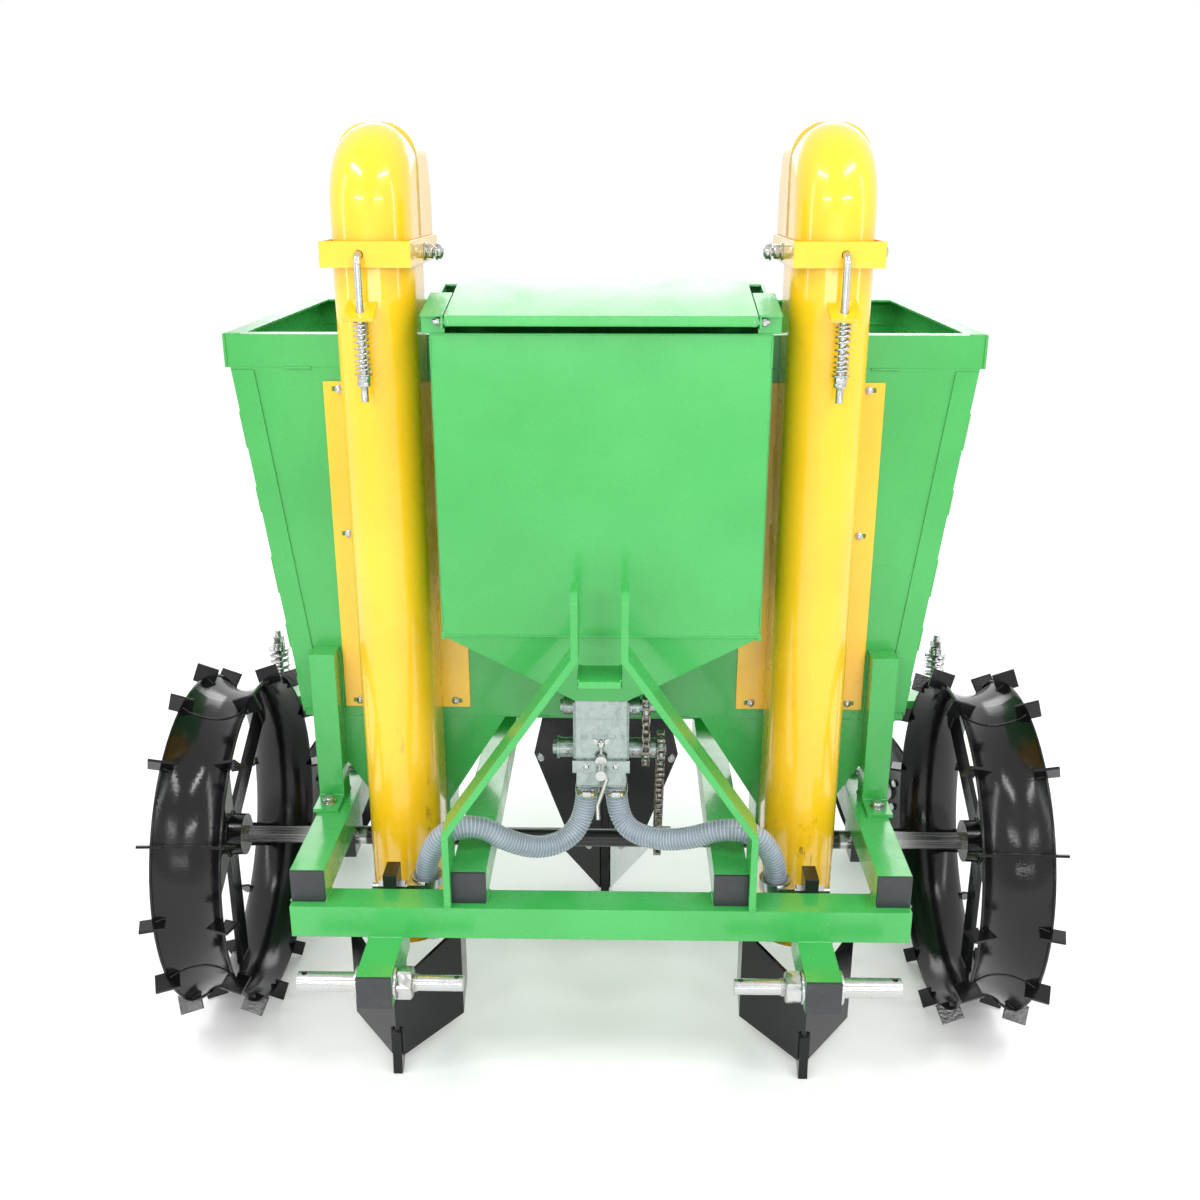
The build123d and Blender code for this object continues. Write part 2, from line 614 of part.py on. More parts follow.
def wheel_hub():
    """The hub on the hexagon and its flat spokes."""
    hub = rod_x(HUB_RADIUS, (HUB_X - HUB_LENGTH / 2, HUB_X + HUB_LENGTH / 2), 0, AXLE_Z)
    x = (HUB_X - SPOKE_THICKNESS / 2, HUB_X + SPOKE_THICKNESS / 2)
    reach = (AXLE_Z + HUB_RADIUS - 5, AXLE_Z + TREAD_EDGE_RADIUS)
    spoke = block(x, (-SPOKE_WIDTH / 2, SPOKE_WIDTH / 2), reach)
    inner = tread_profile(TREAD_THICKNESS)
    low_left = (WHEEL_X - TREAD_WIDTH / 2, 0, AXLE_Z)
    low_right = (WHEEL_X + TREAD_WIDTH / 2, 0, AXLE_Z)
    spoke &= turned_on_axle([inner, Line(inner @ 0, low_left), Line(low_left, low_right),
                             Line(low_right, inner @ 1)])
    for index in range(SPOKE_COUNT):
        hub += about_axle(spoke, 360 / SPOKE_COUNT * index)
    return hub - hex_x(AXLE_HEX_FLATS, (HUB_X - HUB_LENGTH, HUB_X + HUB_LENGTH), 0, AXLE_Z)


# --- Potato hopper ------------------------------------------------------------------------

def hopper_space(inset, rise=0.0):
    """The solid inside the hopper's walls, moved in by an inset and taller by a rise."""
    run = HOPPER_REAR_Y - HOPPER_FLOOR_REAR_Y
    fall = HOPPER_KNEE_Z - HOPPER_BOTTOM_Z
    shift = inset * sqrt(run ** 2 + fall ** 2) / fall
    bottom = HOPPER_BOTTOM_Z + inset
    front = HOPPER_FRONT_Y + inset
    rear = HOPPER_REAR_Y - inset
    top = HOPPER_TOP_Z + rise
    floor_rear = HOPPER_FLOOR_REAR_Y + inset * run / fall - shift
    knee = HOPPER_BOTTOM_Z + (rear - HOPPER_FLOOR_REAR_Y + shift) * fall / run
    side_view = [(front, bottom), (front, top), (rear, top), (rear, knee), (floor_rear, bottom)]
    slope = (HOPPER_TOP_HALF - HOPPER_BOTTOM_HALF) / (HOPPER_TOP_Z - HOPPER_BOTTOM_Z)
    low_half = HOPPER_BOTTOM_HALF + inset * slope - inset
    high_half = HOPPER_TOP_HALF + rise * slope - inset
    front_view = [(-low_half, bottom), (low_half, bottom), (high_half, top), (-high_half, top)]
    across = prism_y(front_view, (HOPPER_FRONT_Y - 1, HOPPER_REAR_Y + 1))
    return prism_x(side_view, (-2 * HOPPER_TOP_HALF, 2 * HOPPER_TOP_HALF)) & across


def potato_hopper():
    """The open hopper, with floor openings into both boots."""
    shell = hopper_space(0) - hopper_space(SHEET, rise=1)
    opening = block((BOOT_TOP_INNER_X + SHEET, BOOT_TOP_OUTER_X - SHEET),
                    (HOPPER_FRONT_Y + SHEET, HOPPER_FLOOR_REAR_Y - SHEET - 8),
                    (HOPPER_BOTTOM_Z - 1, HOPPER_BOTTOM_Z + SHEET + 1))
    for side in both_sides(opening):
        shell -= side
    for x, z in FLANGE_BOLTS:
        shell -= rod_y(3 + BOLT_FIT, x, (HOPPER_FRONT_Y - 1, HOPPER_FRONT_Y + SHEET + 1), z)
    return shell


def hopper_rim():
    """The folded channel round the hopper's mouth."""
    half = HOPPER_TOP_HALF + RIM_OVERHANG
    front = HOPPER_FRONT_Y
    rear = HOPPER_REAR_Y + 4
    z = (HOPPER_TOP_Z, HOPPER_RIM_TOP_Z)
    rim = block((-half, half), (front, rear), z)
    rim -= block((-half + 4, half - 4), (front + 4, rear - 4), (z[0] + 4, z[1] - 4))
    lip = RIM_OVERHANG + SHEET + 1
    rim -= block((-half + lip, half - lip), (front + SHEET + 1, rear - SHEET - 5), (z[0] - 1, z[0] + 5))
    rim -= block((-half + RIM_FLANGE, half - RIM_FLANGE), (front + RIM_FLANGE, rear - RIM_FLANGE),
                 (z[1] - 5, z[1] + 1))
    return rim


def hopper_divider():
    """The roof-shaped plate that parts the potatoes between the two boots."""
    half = BOOT_TOP_INNER_X
    floor = HOPPER_BOTTOM_Z + SHEET
    outline = strip([(half, floor), (0, floor + 70), (-half, floor)], SHEET)
    plate = prism_y(outline, (HOPPER_FRONT_Y + SHEET, HOPPER_FLOOR_REAR_Y - SHEET - 8))
    return plate - block((-half - 5, half + 5), (HOPPER_FRONT_Y, HOPPER_FLOOR_REAR_Y), (floor - 10, floor))


def boot():
    """The funnel under the hopper that leads potatoes to the rising cups."""
    solids = []
    for inset in (0, SHEET):
        top = ((BOOT_TOP_INNER_X + inset, BOOT_TOP_OUTER_X - inset),
               (HOPPER_FRONT_Y + inset, HOPPER_FLOOR_REAR_Y - inset - 4), HOPPER_BOTTOM_Z)
        neck_x = (ROW_X - BOOT_HALF + inset, ROW_X + BOOT_HALF - inset)
        neck_y = (HOPPER_FRONT_Y + inset, BOOT_REAR_Y - inset)
        solids.append(tapered((neck_x, neck_y, BOOT_NECK_Z), top)
                      + block(neck_x, neck_y, (BOOT_BOTTOM_Z - inset, BOOT_NECK_Z)))
    shell = solids[0] - solids[1]
    front = (HOPPER_FRONT_Y - 1, HOPPER_FRONT_Y + SHEET + 1)
    belt_slot = block((ROW_X - 47, ROW_X + 47), front, (BOOT_BOTTOM_Z - 1, AXLE_Z + 115))
    return shell - belt_slot - rod_x(AXLE_RADIUS + 4, (ROW_X - 100, ROW_X + 100), 0, AXLE_Z)


# --- Seed ducts, caps and collars ---------------------------------------------------------

def u_outline(half, centre_y, back_y):
    """The flat outline of a duct: a half-round front with straight sides to the back."""
    front = (ROW_X, centre_y - half)
    left = (ROW_X - half, centre_y)
    right = (ROW_X + half, centre_y)
    arc = ThreePointArc(left, front, right)
    lines = Polyline(right, (ROW_X + half, back_y), (ROW_X - half, back_y), left)
    return make_face([arc, lines])


def seed_duct():
    """The tall duct that the loaded cups come down in."""
    back = HOPPER_FRONT_Y - SHEET
    height = DUCT_TOP_Z - DUCT_BOTTOM_Z
    duct = Pos(0, 0, DUCT_BOTTOM_Z) * extrude(u_outline(DUCT_RADIUS, DUCT_CENTRE_Y, back), height)
    inside = extrude(u_outline(DUCT_RADIUS - SHEET, DUCT_CENTRE_Y, back + 1), height + 2)
    duct -= Pos(0, 0, DUCT_BOTTOM_Z - 1) * inside
    for edge in (-1, 1):
        x = sorted((ROW_X + edge * (DUCT_RADIUS - SHEET), ROW_X + edge * FLANGE_HALF))
        duct += block(x, (back, HOPPER_FRONT_Y), (FLANGE_BOTTOM_Z, FLANGE_TOP_Z))
        for z in FLANGE_BOLT_Z:
            slot_x = ROW_X + edge * FLANGE_BOLT_X
            duct -= block((slot_x - 7, slot_x + 7), (back - 1, HOPPER_FRONT_Y + 1), (z - 3.5, z + 3.5))
    notch_y = (-AXLE_RADIUS - AXLE_NOTCH_GAP, back + 1)
    notch_z = (DUCT_BOTTOM_Z - 1, AXLE_Z + AXLE_RADIUS + AXLE_NOTCH_GAP)
    axle_notch = block((ROW_X - FLANGE_BOLT_X, ROW_X + FLANGE_BOLT_X), notch_y, notch_z)
    hook_x = ROW_X + HOOK_OFFSET_X
    bracket = block((-BRACKET_HALF, BRACKET_HALF), (-14, DUCT_RADIUS), (0, BRACKET_THICKNESS))
    bracket = Pos(hook_x, HOOK_Y, BRACKET_Z) * Rot(BRACKET_TILT, 0, 0) * bracket
    bracket -= rod_z(DUCT_RADIUS - 1, ROW_X, DUCT_CENTRE_Y, (BRACKET_Z - 10, BRACKET_Z + 50))
    bracket -= rod_z(HOOK_RADIUS + 0.6, hook_x, HOOK_Y, (BRACKET_Z - 10, BRACKET_Z + 20))
    return duct - axle_notch + bracket


def cap_space(inset):
    """The solid inside a cap's walls: a half-round elbow in front and a flat-sided box behind."""
    half = CAP_HALF - inset
    radius = CAP_RADIUS - inset
    centre_y = DUCT_CENTRE_Y
    bottom = CAP_BOTTOM_Z - inset
    section = Pos(0, 0, CAP_CENTRE_Z) * u_outline(half, centre_y, 0)
    elbow = revolve(section, Axis((0, 0, CAP_CENTRE_Z), (-1, 0, 0)), 90)
    front = Pos(0, 0, bottom) * extrude(u_outline(half, centre_y, inset), CAP_CENTRE_Z - bottom)
    arc = ThreePointArc((0, 0, CAP_CENTRE_Z + radius),
                        (0, radius * sin(pi / 4), CAP_CENTRE_Z + radius * cos(pi / 4)),
                        (0, radius, CAP_CENTRE_Z))
    lines = Polyline((0, radius, CAP_CENTRE_Z), (0, radius, bottom), (0, 0, bottom),
                     (0, 0, CAP_CENTRE_Z + radius))
    rear = Pos(ROW_X - half, 0, 0) * extrude(make_face([arc, lines]), 2 * half, dir=(1, 0, 0))
    rear -= block((ROW_X - half - 1, ROW_X + half + 1), (-1, inset), (bottom - 1, CAP_CENTRE_Z + radius + 1))
    height = CAP_CENTRE_Z + radius - bottom + CAP_CORNER
    arch = RectangleRounded(2 * half, height, CAP_CORNER - inset)
    arch = Pos(ROW_X, 0, CAP_CENTRE_Z + radius - height / 2) * Rot(-90, 0, 0) * arch
    rear &= extrude(arch, radius + 1, dir=(0, 1, 0))
    return elbow, front, rear


def duct_cap():
    """The domed cover over the top roller."""
    outer = cap_space(0)
    inner = cap_space(SHEET)
    shell = outer[0] + outer[1] + outer[2]
    for space in inner:
        shell -= space
    throat = Pos(0, 0, CAP_CENTRE_Z) * Rot(-90, 0, 0) * u_outline(CAP_HALF - SHEET, DUCT_CENTRE_Y, 0)
    return shell - extrude(throat, 2 * SHEET, dir=(0, 1, 0))


def collar():
    """The strap that holds a cap, a duct top and the roller's bolt together."""
    x = (ROW_X - COLLAR_HALF, ROW_X + COLLAR_HALF)
    y = (COLLAR_FRONT_Y, COLLAR_REAR_Y)
    z = (COLLAR_BOTTOM_Z, COLLAR_TOP_Z)
    strap = block(x, y, z)
    strap -= block((x[0] + SHEET, x[1] - SHEET), (y[0] + SHEET, y[1] - SHEET), (z[0] - 1, z[1] + 1))
    strap -= rod_x(ROLLER_BOLT_RADIUS + BOLT_FIT, (x[0] - 1, x[1] + 1), 0, TOP_ROLLER_Z)
    return strap - rod_y(HOOK_RADIUS + 0.6, ROW_X + HOOK_OFFSET_X, (y[0] - 1, y[0] + SHEET + 1), HOOK_HOLE_Z)


def duct_bolts():
    """Small bolts in the slots of the duct flanges."""
    face = HOPPER_FRONT_Y - SHEET
    bolts = []
    for x, z in FLANGE_BOLTS:
        washer = rod_y(7, x, (face - 1.5, face), z)
        head = hex_y(10, x, (face - 6, face - 1.5), z)
        bolts.append(washer + head + rod_y(3, x, (face, face + 16), z))
    return bolts


def tension_hook():
    """A J-shaped rod from the collar down through the duct's bracket."""
    x = ROW_X + HOOK_OFFSET_X
    end_y = COLLAR_INNER_FRONT_Y + 2
    path = FilletPolyline((x, HOOK_Y, HOOK_END_Z), (x, HOOK_Y, HOOK_HOLE_Z), (x, end_y, HOOK_HOLE_Z),
                          radius=HOOK_BEND)
    return sweep(Plane(origin=path @ 0, z_dir=path % 0) * Circle(HOOK_RADIUS), path=path)


def hook_spring():
    """The coil spring under a duct's bracket, as its outer envelope."""
    x = ROW_X + HOOK_OFFSET_X
    z = (HOOK_SPRING_BOTTOM_Z, HOOK_SPRING_TOP_Z)
    return rod_z(HOOK_SPRING_RADIUS, x, HOOK_Y, z) - rod_z(HOOK_RADIUS + 2.5, x, HOOK_Y, z)


def hook_nuts():
    """The washer and two nuts under a hook's spring."""
    x = ROW_X + HOOK_OFFSET_X
    seat = HOOK_SPRING_BOTTOM_Z
    bore = rod_z(HOOK_RADIUS + 0.1, x, HOOK_Y, (HOOK_END_Z, seat + 1))
    washer = rod_z(12, x, HOOK_Y, (seat - 2.5, seat))
    nut = hex_z(17, x, HOOK_Y, (seat - 11, seat - 2.5))
    lock_nut = hex_z(17, x, HOOK_Y, (seat - 17, seat - 11))
    return [washer - bore, nut - bore, lock_nut - bore]


# --- Cup belts ----------------------------------------------------------------------------

def belt():
    """The endless belt round the drum on the axle and the roller at the top."""
    x = (ROW_X - BELT_WIDTH / 2, ROW_X + BELT_WIDTH / 2)
    ends = ((0, AXLE_Z), (0, TOP_ROLLER_Z))
    return racetrack(BELT_OUTER, *ends, x) - racetrack(BELT_INNER, *ends, (x[0] - 1, x[1] + 1))


def belt_cups():
    """The cups along the belt, each with its mouth in the direction of travel."""
    outer = Cone(CUP_BOTTOM_RADIUS, CUP_RADIUS, CUP_DEPTH)
    inner = Pos(0, 0, CUP_WALL) * Cone(CUP_BOTTOM_RADIUS - CUP_WALL, CUP_RADIUS - CUP_WALL, CUP_DEPTH)
    cup = Pos(ROW_X, BELT_OUTER + CUP_RADIUS, 0) * (outer - inner)
    foot = block((ROW_X - CUP_FOOT_HALF, ROW_X + CUP_FOOT_HALF), (BELT_OUTER, BELT_OUTER + CUP_RADIUS - 6),
                 (-CUP_DEPTH / 2, -CUP_DEPTH / 2 + 8))
    room = Cone(CUP_BOTTOM_RADIUS - 1, CUP_RADIUS - 1, CUP_DEPTH)
    cup += foot - Pos(ROW_X, BELT_OUTER + CUP_RADIUS, CUP_WALL) * room
    straight = TOP_ROLLER_Z - AXLE_Z
    bend = pi * (BELT_INNER + BELT_THICKNESS / 2)
    pitch = 2 * (straight + bend) / CUP_COUNT
    cups = []
    for index in range(CUP_COUNT):
        travel = pitch * (index + 0.5)
        half_loop, along = divmod(travel, straight + bend)
        turned = 180 * half_loop
        if along < straight:
            height = AXLE_Z + along if half_loop == 0 else TOP_ROLLER_Z - along
            angle = turned
        else:
            height = TOP_ROLLER_Z if half_loop == 0 else AXLE_Z
            angle = turned + 180 * (along - straight) / bend
        cups.append(Pos(0, 0, height) * Rot(angle, 0, 0) * cup)
    return cups


def lower_drum():
    """The drum on the axle that drives a belt."""
    x = (ROW_X - DRUM_WIDTH / 2, ROW_X + DRUM_WIDTH / 2)
    return rod_x(DRUM_RADIUS, x, 0, AXLE_Z) - rod_x(AXLE_RADIUS, (x[0] - 1, x[1] + 1), 0, AXLE_Z)


def top_roller():
    """The free roller at the top of a belt."""
    x = (ROW_X - DRUM_WIDTH / 2, ROW_X + DRUM_WIDTH / 2)
    bore = rod_x(ROLLER_BOLT_RADIUS + RUN_FIT, (x[0] - 1, x[1] + 1), 0, TOP_ROLLER_Z)
    return rod_x(DRUM_RADIUS, x, 0, TOP_ROLLER_Z) - bore


def roller_bolt():
    """The bolt that carries a top roller, with its nuts and washers outside the collar."""
    ends = (ROW_X - ROLLER_BOLT_HALF, ROW_X + ROLLER_BOLT_HALF)
    bolt = rod_x(ROLLER_BOLT_RADIUS, ends, 0, TOP_ROLLER_Z)
    for edge in (-1, 1):
        for flats, near, far in ((24, 0, 2.5), (19, 2.5, 12.5), (24, 16, 18.5), (19, 18.5, 25)):
            x = sorted(ROW_X + edge * (COLLAR_HALF + offset) for offset in (near, far))
            shape = rod_x(flats / 2, x, 0, TOP_ROLLER_Z) if flats == 24 else hex_x(flats, x, 0, TOP_ROLLER_Z)
            bolt += shape
    return bolt


# --- Chain drive and metering unit --------------------------------------------------------

def sprocket(x, y, z):
    """A toothed disc in the plane of a chain."""
    limits = (x - SPROCKET_THICKNESS / 2, x + SPROCKET_THICKNESS / 2)
    disc = rod_x(SPROCKET_RADIUS + 3, limits, y, z)
    for index in range(SPROCKET_TEETH):
        angle = radians(360 / SPROCKET_TEETH * (index + 0.5))
        disc -= rod_x(CHAIN_ROLLER_RADIUS, (limits[0] - 1, limits[1] + 1),
                      y + SPROCKET_RADIUS * cos(angle), z + SPROCKET_RADIUS * sin(angle))
    return disc


def chain(x, first, last):
    """The two plate loops of a chain round two equal sprockets."""
    loops = []
    for side in (-1, 1):
        limits = sorted((x + side * CHAIN_PLATE_GAP, x + side * (CHAIN_PLATE_GAP + CHAIN_PLATE_THICKNESS)))
        wide = (limits[0] - 1, limits[1] + 1)
        loops.append(racetrack(SPROCKET_RADIUS + CHAIN_PLATE_HALF, first, last, limits)
                     - racetrack(SPROCKET_RADIUS - CHAIN_PLATE_HALF, first, last, wide))
    return loops


def drive_sprocket():
    """The sprocket on the axle with its hub."""
    hub = rod_x(SPROCKET_RADIUS - CHAIN_PLATE_HALF - 1, (DRIVE_CHAIN_X, DRIVE_CHAIN_X + 22), 0, AXLE_Z)
    wheel = sprocket(DRIVE_CHAIN_X, 0, AXLE_Z) + hub
    return wheel - rod_x(AXLE_RADIUS, (DRIVE_CHAIN_X - 10, DRIVE_CHAIN_X + 30), 0, AXLE_Z)


def metering_shaft():
    """The lower shaft with its fluted roller, collars and two sprockets."""
    y, z = METER_Y, METER_SHAFT_Z
    shaft = rod_x(METER_SHAFT_RADIUS, (-74, DRIVE_CHAIN_X + 8), y, z)
    half = METER_HALF - SHEET - GAP
    roller = rod_x(FLUTED_ROLLER_RADIUS, (-half, half), y, z)
    for index in range(FLUTE_COUNT):
        angle = 2 * pi * index / FLUTE_COUNT
        roller -= rod_x(FLUTE_RADIUS, (-half - 1, half + 1), y + FLUTED_ROLLER_RADIUS * cos(angle),
                        z + FLUTED_ROLLER_RADIUS * sin(angle))
    shaft += roller
    near = METER_HALF + GAP
    shaft += rod_x(METER_COLLAR_RADIUS, (near, METER_CHAIN_X + 16), y, z)
    shaft += rod_x(METER_COLLAR_RADIUS, (-near - 24, -near), y, z)
    shaft += rod_x(METER_COLLAR_RADIUS + 2, (-near - 28, -near - 24), y, z)
    return shaft + sprocket(METER_CHAIN_X, y, z) + sprocket(DRIVE_CHAIN_X, y, z)


def agitator_shaft():
    """The upper shaft with stirring pins, collars and a sprocket."""
    y, z = METER_Y, AGITATOR_Z
    near = METER_HALF + GAP
    shaft = rod_x(METER_SHAFT_RADIUS, (-62, METER_CHAIN_X + 18), y, z)
    shaft += rod_x(METER_COLLAR_RADIUS - 1, (near, near + 18), y, z)
    shaft += rod_x(METER_COLLAR_RADIUS - 1, (-near - 18, -near), y, z)
    for x in (-24, -8, 8, 24):
        shaft += rod_z(3, x, y, (z - 24, z + 24)) if x in (-24, 8) else rod_y(3, x, (y - 24, y + 24), z)
    return shaft + sprocket(METER_CHAIN_X, y, z)


def metering_housing():
    """The square housing under the hopper's neck, drilled for both shafts."""
    x = (-METER_HALF, METER_HALF)
    z = (METER_BOTTOM_Z, METER_TOP_Z)
    body = block(x, (METER_FRONT_Y, METER_REAR_Y), z)
    body -= block((x[0] + SHEET, x[1] - SHEET), (METER_FRONT_Y + SHEET, METER_REAR_Y - SHEET),
                  (z[0] - 1, z[1] + 1))
    body += block((x[0] - METER_FLANGE, x[1] + METER_FLANGE), (METER_FRONT_Y - METER_FLANGE, METER_FRONT_Y),
                  (METER_BOTTOM_Z, METER_FLANGE_TOP_Z))
    for height in (METER_SHAFT_Z, AGITATOR_Z):
        body -= rod_x(METER_SHAFT_RADIUS + RUN_FIT, (x[0] - 1, x[1] + 1), METER_Y, height)
    return body - rod_y(LEVER_RADIUS + RUN_FIT, 0, (METER_FRONT_Y - 5, METER_FRONT_Y + SHEET + 1), LEVER_Z)


def outlet_box():
    """The box under the housing that splits the flow between two spigots."""
    y = (METER_FRONT_Y + 1, METER_REAR_Y - 1)
    body = block((-OUTLET_HALF, OUTLET_HALF), y, (OUTLET_BOTTOM_Z, METER_BOTTOM_Z))
    body -= block((-OUTLET_HALF + SHEET, OUTLET_HALF - SHEET), (y[0] + SHEET, y[1] - SHEET),
                  (OUTLET_BOTTOM_Z + SHEET, METER_BOTTOM_Z + 1))
    for side in (-1, 1):
        spigot_x = side * SPIGOT_X
        spigot_end = OUTLET_BOTTOM_Z - SPIGOT_LENGTH
        body += rod_z(SPIGOT_RADIUS, spigot_x, METER_Y, (spigot_end, OUTLET_BOTTOM_Z + 1))
        body -= rod_z(SPIGOT_RADIUS - SPIGOT_WALL, spigot_x, METER_Y, (spigot_end - 1, OUTLET_BOTTOM_Z + 5))
    return body


def rate_lever():
    """The bent rod that sets the feed rate, on a pivot through the housing's front."""
    pivot = rod_y(LEVER_RADIUS, 0, (METER_FRONT_Y - 24, METER_FRONT_Y + SHEET + 2), LEVER_Z)
    knob = rod_y(8, 0, (METER_FRONT_Y - 30, METER_FRONT_Y - 12), LEVER_Z)
    y = METER_FRONT_Y - 22
    path = FilletPolyline((0, y, LEVER_Z), (9, y, LEVER_Z - 8), (-5, y - 2, LEVER_Z - 52),
                          (-4, y - 8, LEVER_Z - 72), radius=5)
    handle = sweep(Plane(origin=path @ 0, z_dir=path % 0) * Circle(LEVER_RADIUS), path=path)
    return pivot + knob + handle


def gate_screw():
    """The wing screw on the housing's front that clamps the gate."""
    y = METER_FRONT_Y
    rod = rod_z(2.5, 0, y - 5, (METER_FLANGE_TOP_Z, METER_FLANGE_TOP_Z + 34))
    nut = hex_y(13, 0, (y - 9, y), METER_FLANGE_TOP_Z + 30)
    wings = block((-11, 11), (y - 8, y - 5), (METER_FLANGE_TOP_Z + 27, METER_FLANGE_TOP_Z + 33))
    return rod + nut + wings


# --- Fertiliser hopper --------------------------------------------------------------------

def slope_z(y, above=0.0):
    """The height of the sloping top of the fertiliser hopper."""
    share = (y - FERT_FRONT_Y) / (FERT_REAR_Y - FERT_FRONT_Y)
    return FERT_SLOPE_FRONT_Z + share * (FERT_SLOPE_REAR_Z - FERT_SLOPE_FRONT_Z) + above


def slope_strip(y, low, high, x):
    """A plate that lies along the sloping top."""
    outline = [(y[0], slope_z(y[0], low)), (y[1], slope_z(y[1], low)),
               (y[1], slope_z(y[1], high)), (y[0], slope_z(y[0], high))]
    return prism_x(outline, x)


def fert_space(inset, over):
    """The solid inside the fertiliser hopper's walls."""
    x = (-FERT_HALF + inset, FERT_HALF - inset)
    y = (FERT_FRONT_Y + inset, FERT_REAR_Y - inset)
    neck = METER_HALF - inset
    neck_y = (METER_Y - neck, METER_Y + neck)
    outline = [(y[0], FERT_BOX_BOTTOM_Z), (y[1], FERT_BOX_BOTTOM_Z),
               (y[1], slope_z(y[1], over)), (y[0], slope_z(y[0], over))]
    funnel = tapered(((-neck, neck), neck_y, METER_TOP_Z), (x, y, FERT_BOX_BOTTOM_Z))
    space = prism_x(outline, x) + funnel
    if inset:
        space += block((-neck, neck), neck_y, (METER_TOP_Z - 1, METER_TOP_Z))
    return space


def fertiliser_hopper():
    """The front hopper with cheeks beside its lid."""
    shell = fert_space(0, 0) - fert_space(SHEET, 1)
    shell -= block((-FERT_HALF - 1, FERT_HALF + 1), (FERT_FRONT_Y - 1, FERT_FRONT_Y + SHEET),
                   (FERT_FRONT_TOP_Z, FERT_SLOPE_FRONT_Z + 5))
    cheek_x = (LID_HALF + 1.5, CHEEK_OUTER_X)
    ear_x = (cheek_x[0], cheek_x[0] + SHEET)
    cheek = slope_strip((FERT_FRONT_Y - 8, FERT_FRONT_Y + CHEEK_DEPTH), 0, SHEET, cheek_x)
    cheek += block(cheek_x, (FERT_FRONT_Y + 1, FERT_FRONT_Y + 1 + SHEET), (FERT_FRONT_TOP_Z, FERT_SLOPE_FRONT_Z + 1))
    ear_front, ear_knee, ear_rear = FERT_FRONT_Y - 16, FERT_FRONT_Y - 8, FERT_FRONT_Y + 20
    ear = prism_x([(ear_front, HINGE_Z - 8), (ear_rear, HINGE_Z - 8), (ear_rear, slope_z(ear_rear, 1)),
                   (ear_knee, slope_z(ear_knee, 1)), (ear_front, HINGE_Z + 4)], ear_x)
    ear -= rod_x(HINGE_ROD_RADIUS + RUN_FIT, (ear_x[0] - 1, ear_x[1] + 1), HINGE_Y, HINGE_Z)
    for side in both_sides(cheek + ear):
        shell += side
    return shell + slope_strip((FERT_REAR_Y - 24, FERT_REAR_Y), -SHEET, 0, (-FERT_HALF + 1, FERT_HALF - 1))


def fertiliser_lid():
    """The sheet lid with a folded front lip and a tab on the hinge rod at each end."""
    x = (-LID_HALF, LID_HALF)
    gap = 0.3
    plate = slope_strip((LID_FRONT_Y, LID_REAR_Y), gap, gap + LID_THICKNESS, x)
    top = slope_z(LID_FRONT_Y, gap + LID_THICKNESS)
    lip = block(x, (LID_FRONT_Y, LID_FRONT_Y + LID_THICKNESS), (top - LID_LIP, top))
    lid = plate + lip
    tab_x = (LID_HALF - 5, LID_HALF)
    tab = block(tab_x, (LID_FRONT_Y + 1, HINGE_Y + 3), (HINGE_Z - 4, slope_z(HINGE_Y, gap)))
    for side in both_sides(tab - rod_x(HINGE_ROD_RADIUS, (0, LID_HALF + 1), HINGE_Y, HINGE_Z)):
        lid += side
    return lid


def lid_hinge_rod():
    """The rod along the lid's front edge, with a head outside each ear."""
    rod = rod_x(HINGE_ROD_RADIUS, (-LID_HALF - 12, LID_HALF + 12), HINGE_Y, HINGE_Z)
    for head in both_sides(hex_x(9, (LID_HALF + 6, LID_HALF + 12), HINGE_Y, HINGE_Z)):
        rod += head
    return rod


# --- Hoses --------------------------------------------------------------------------------

def hose(route):
    """A hose along its route, with each bend as large as its two runs allow."""
    points = [Vector(*point) for point in route]
    radii = []
    for before, corner, after in zip(points, points[1:], points[2:]):
        turn = (corner - before).get_angle(after - corner)
        shorter = min((corner - before).length, (after - corner).length)
        radii.append(0.45 * shorter / tan(radians(turn / 2)))
    path = FilletPolyline(*points, radius=radii)
    tube = sweep(Plane(origin=path @ 0, z_dir=path % 0) * Circle(HOSE_DIAMETER / 2), path=path)
    section = pi * HOSE_DIAMETER ** 2 / 4
    print(f"hose length {path.length:.0f}, volume ratio {tube.volume / section / path.length:.4f},",
          "radii", [round(radius) for radius in radii])
    return tube


def hose_clamp(side):
    """A worm-drive clamp round a hose on its spigot."""
    z = (OUTLET_BOTTOM_Z - 28, OUTLET_BOTTOM_Z - 16)
    x = side * SPIGOT_X
    band = rod_z(HOSE_DIAMETER / 2 + 1.7, x, METER_Y, z) - rod_z(HOSE_DIAMETER / 2 + 0.2, x, METER_Y, z)
    screw_y = METER_Y - HOSE_DIAMETER / 2 - 4.5
    return band + rod_x(4, (x - 9, x + 9), screw_y, (z[0] + z[1]) / 2)


def hose_ring(side):
    """A ring for the hose on a bolt through the opener's shank."""
    z = (RING_Z - RING_HEIGHT / 2, RING_Z + RING_HEIGHT / 2)
    bolt_y = (SHANK_FRONT_Y + SHANK_REAR_Y) / 2
    bolt = rod_x(5, (RING_X + RING_RADIUS - 1, ROW_X + 30), bolt_y, RING_Z)
    bolt += hex_x(17, (ROW_X - SHANK_HALF - 10, ROW_X - SHANK_HALF), bolt_y, RING_Z)
    bolt += hex_x(17, (ROW_X + SHANK_HALF, ROW_X + SHANK_HALF + 10), bolt_y, RING_Z)
    link = block((RING_X, RING_X + RING_RADIUS + 2), (bolt_y - 5, RING_Y), (RING_Z - 5, RING_Z + 5))
    ring = rod_z(RING_RADIUS, RING_X, RING_Y, z) + link + bolt
    ring -= rod_z(RING_RADIUS - SHEET, RING_X, RING_Y, (z[0] - 1, z[1] + 1))
    return ring if side > 0 else mirrored(ring)


# --- Soil tools ---------------------------------------------------------------------------

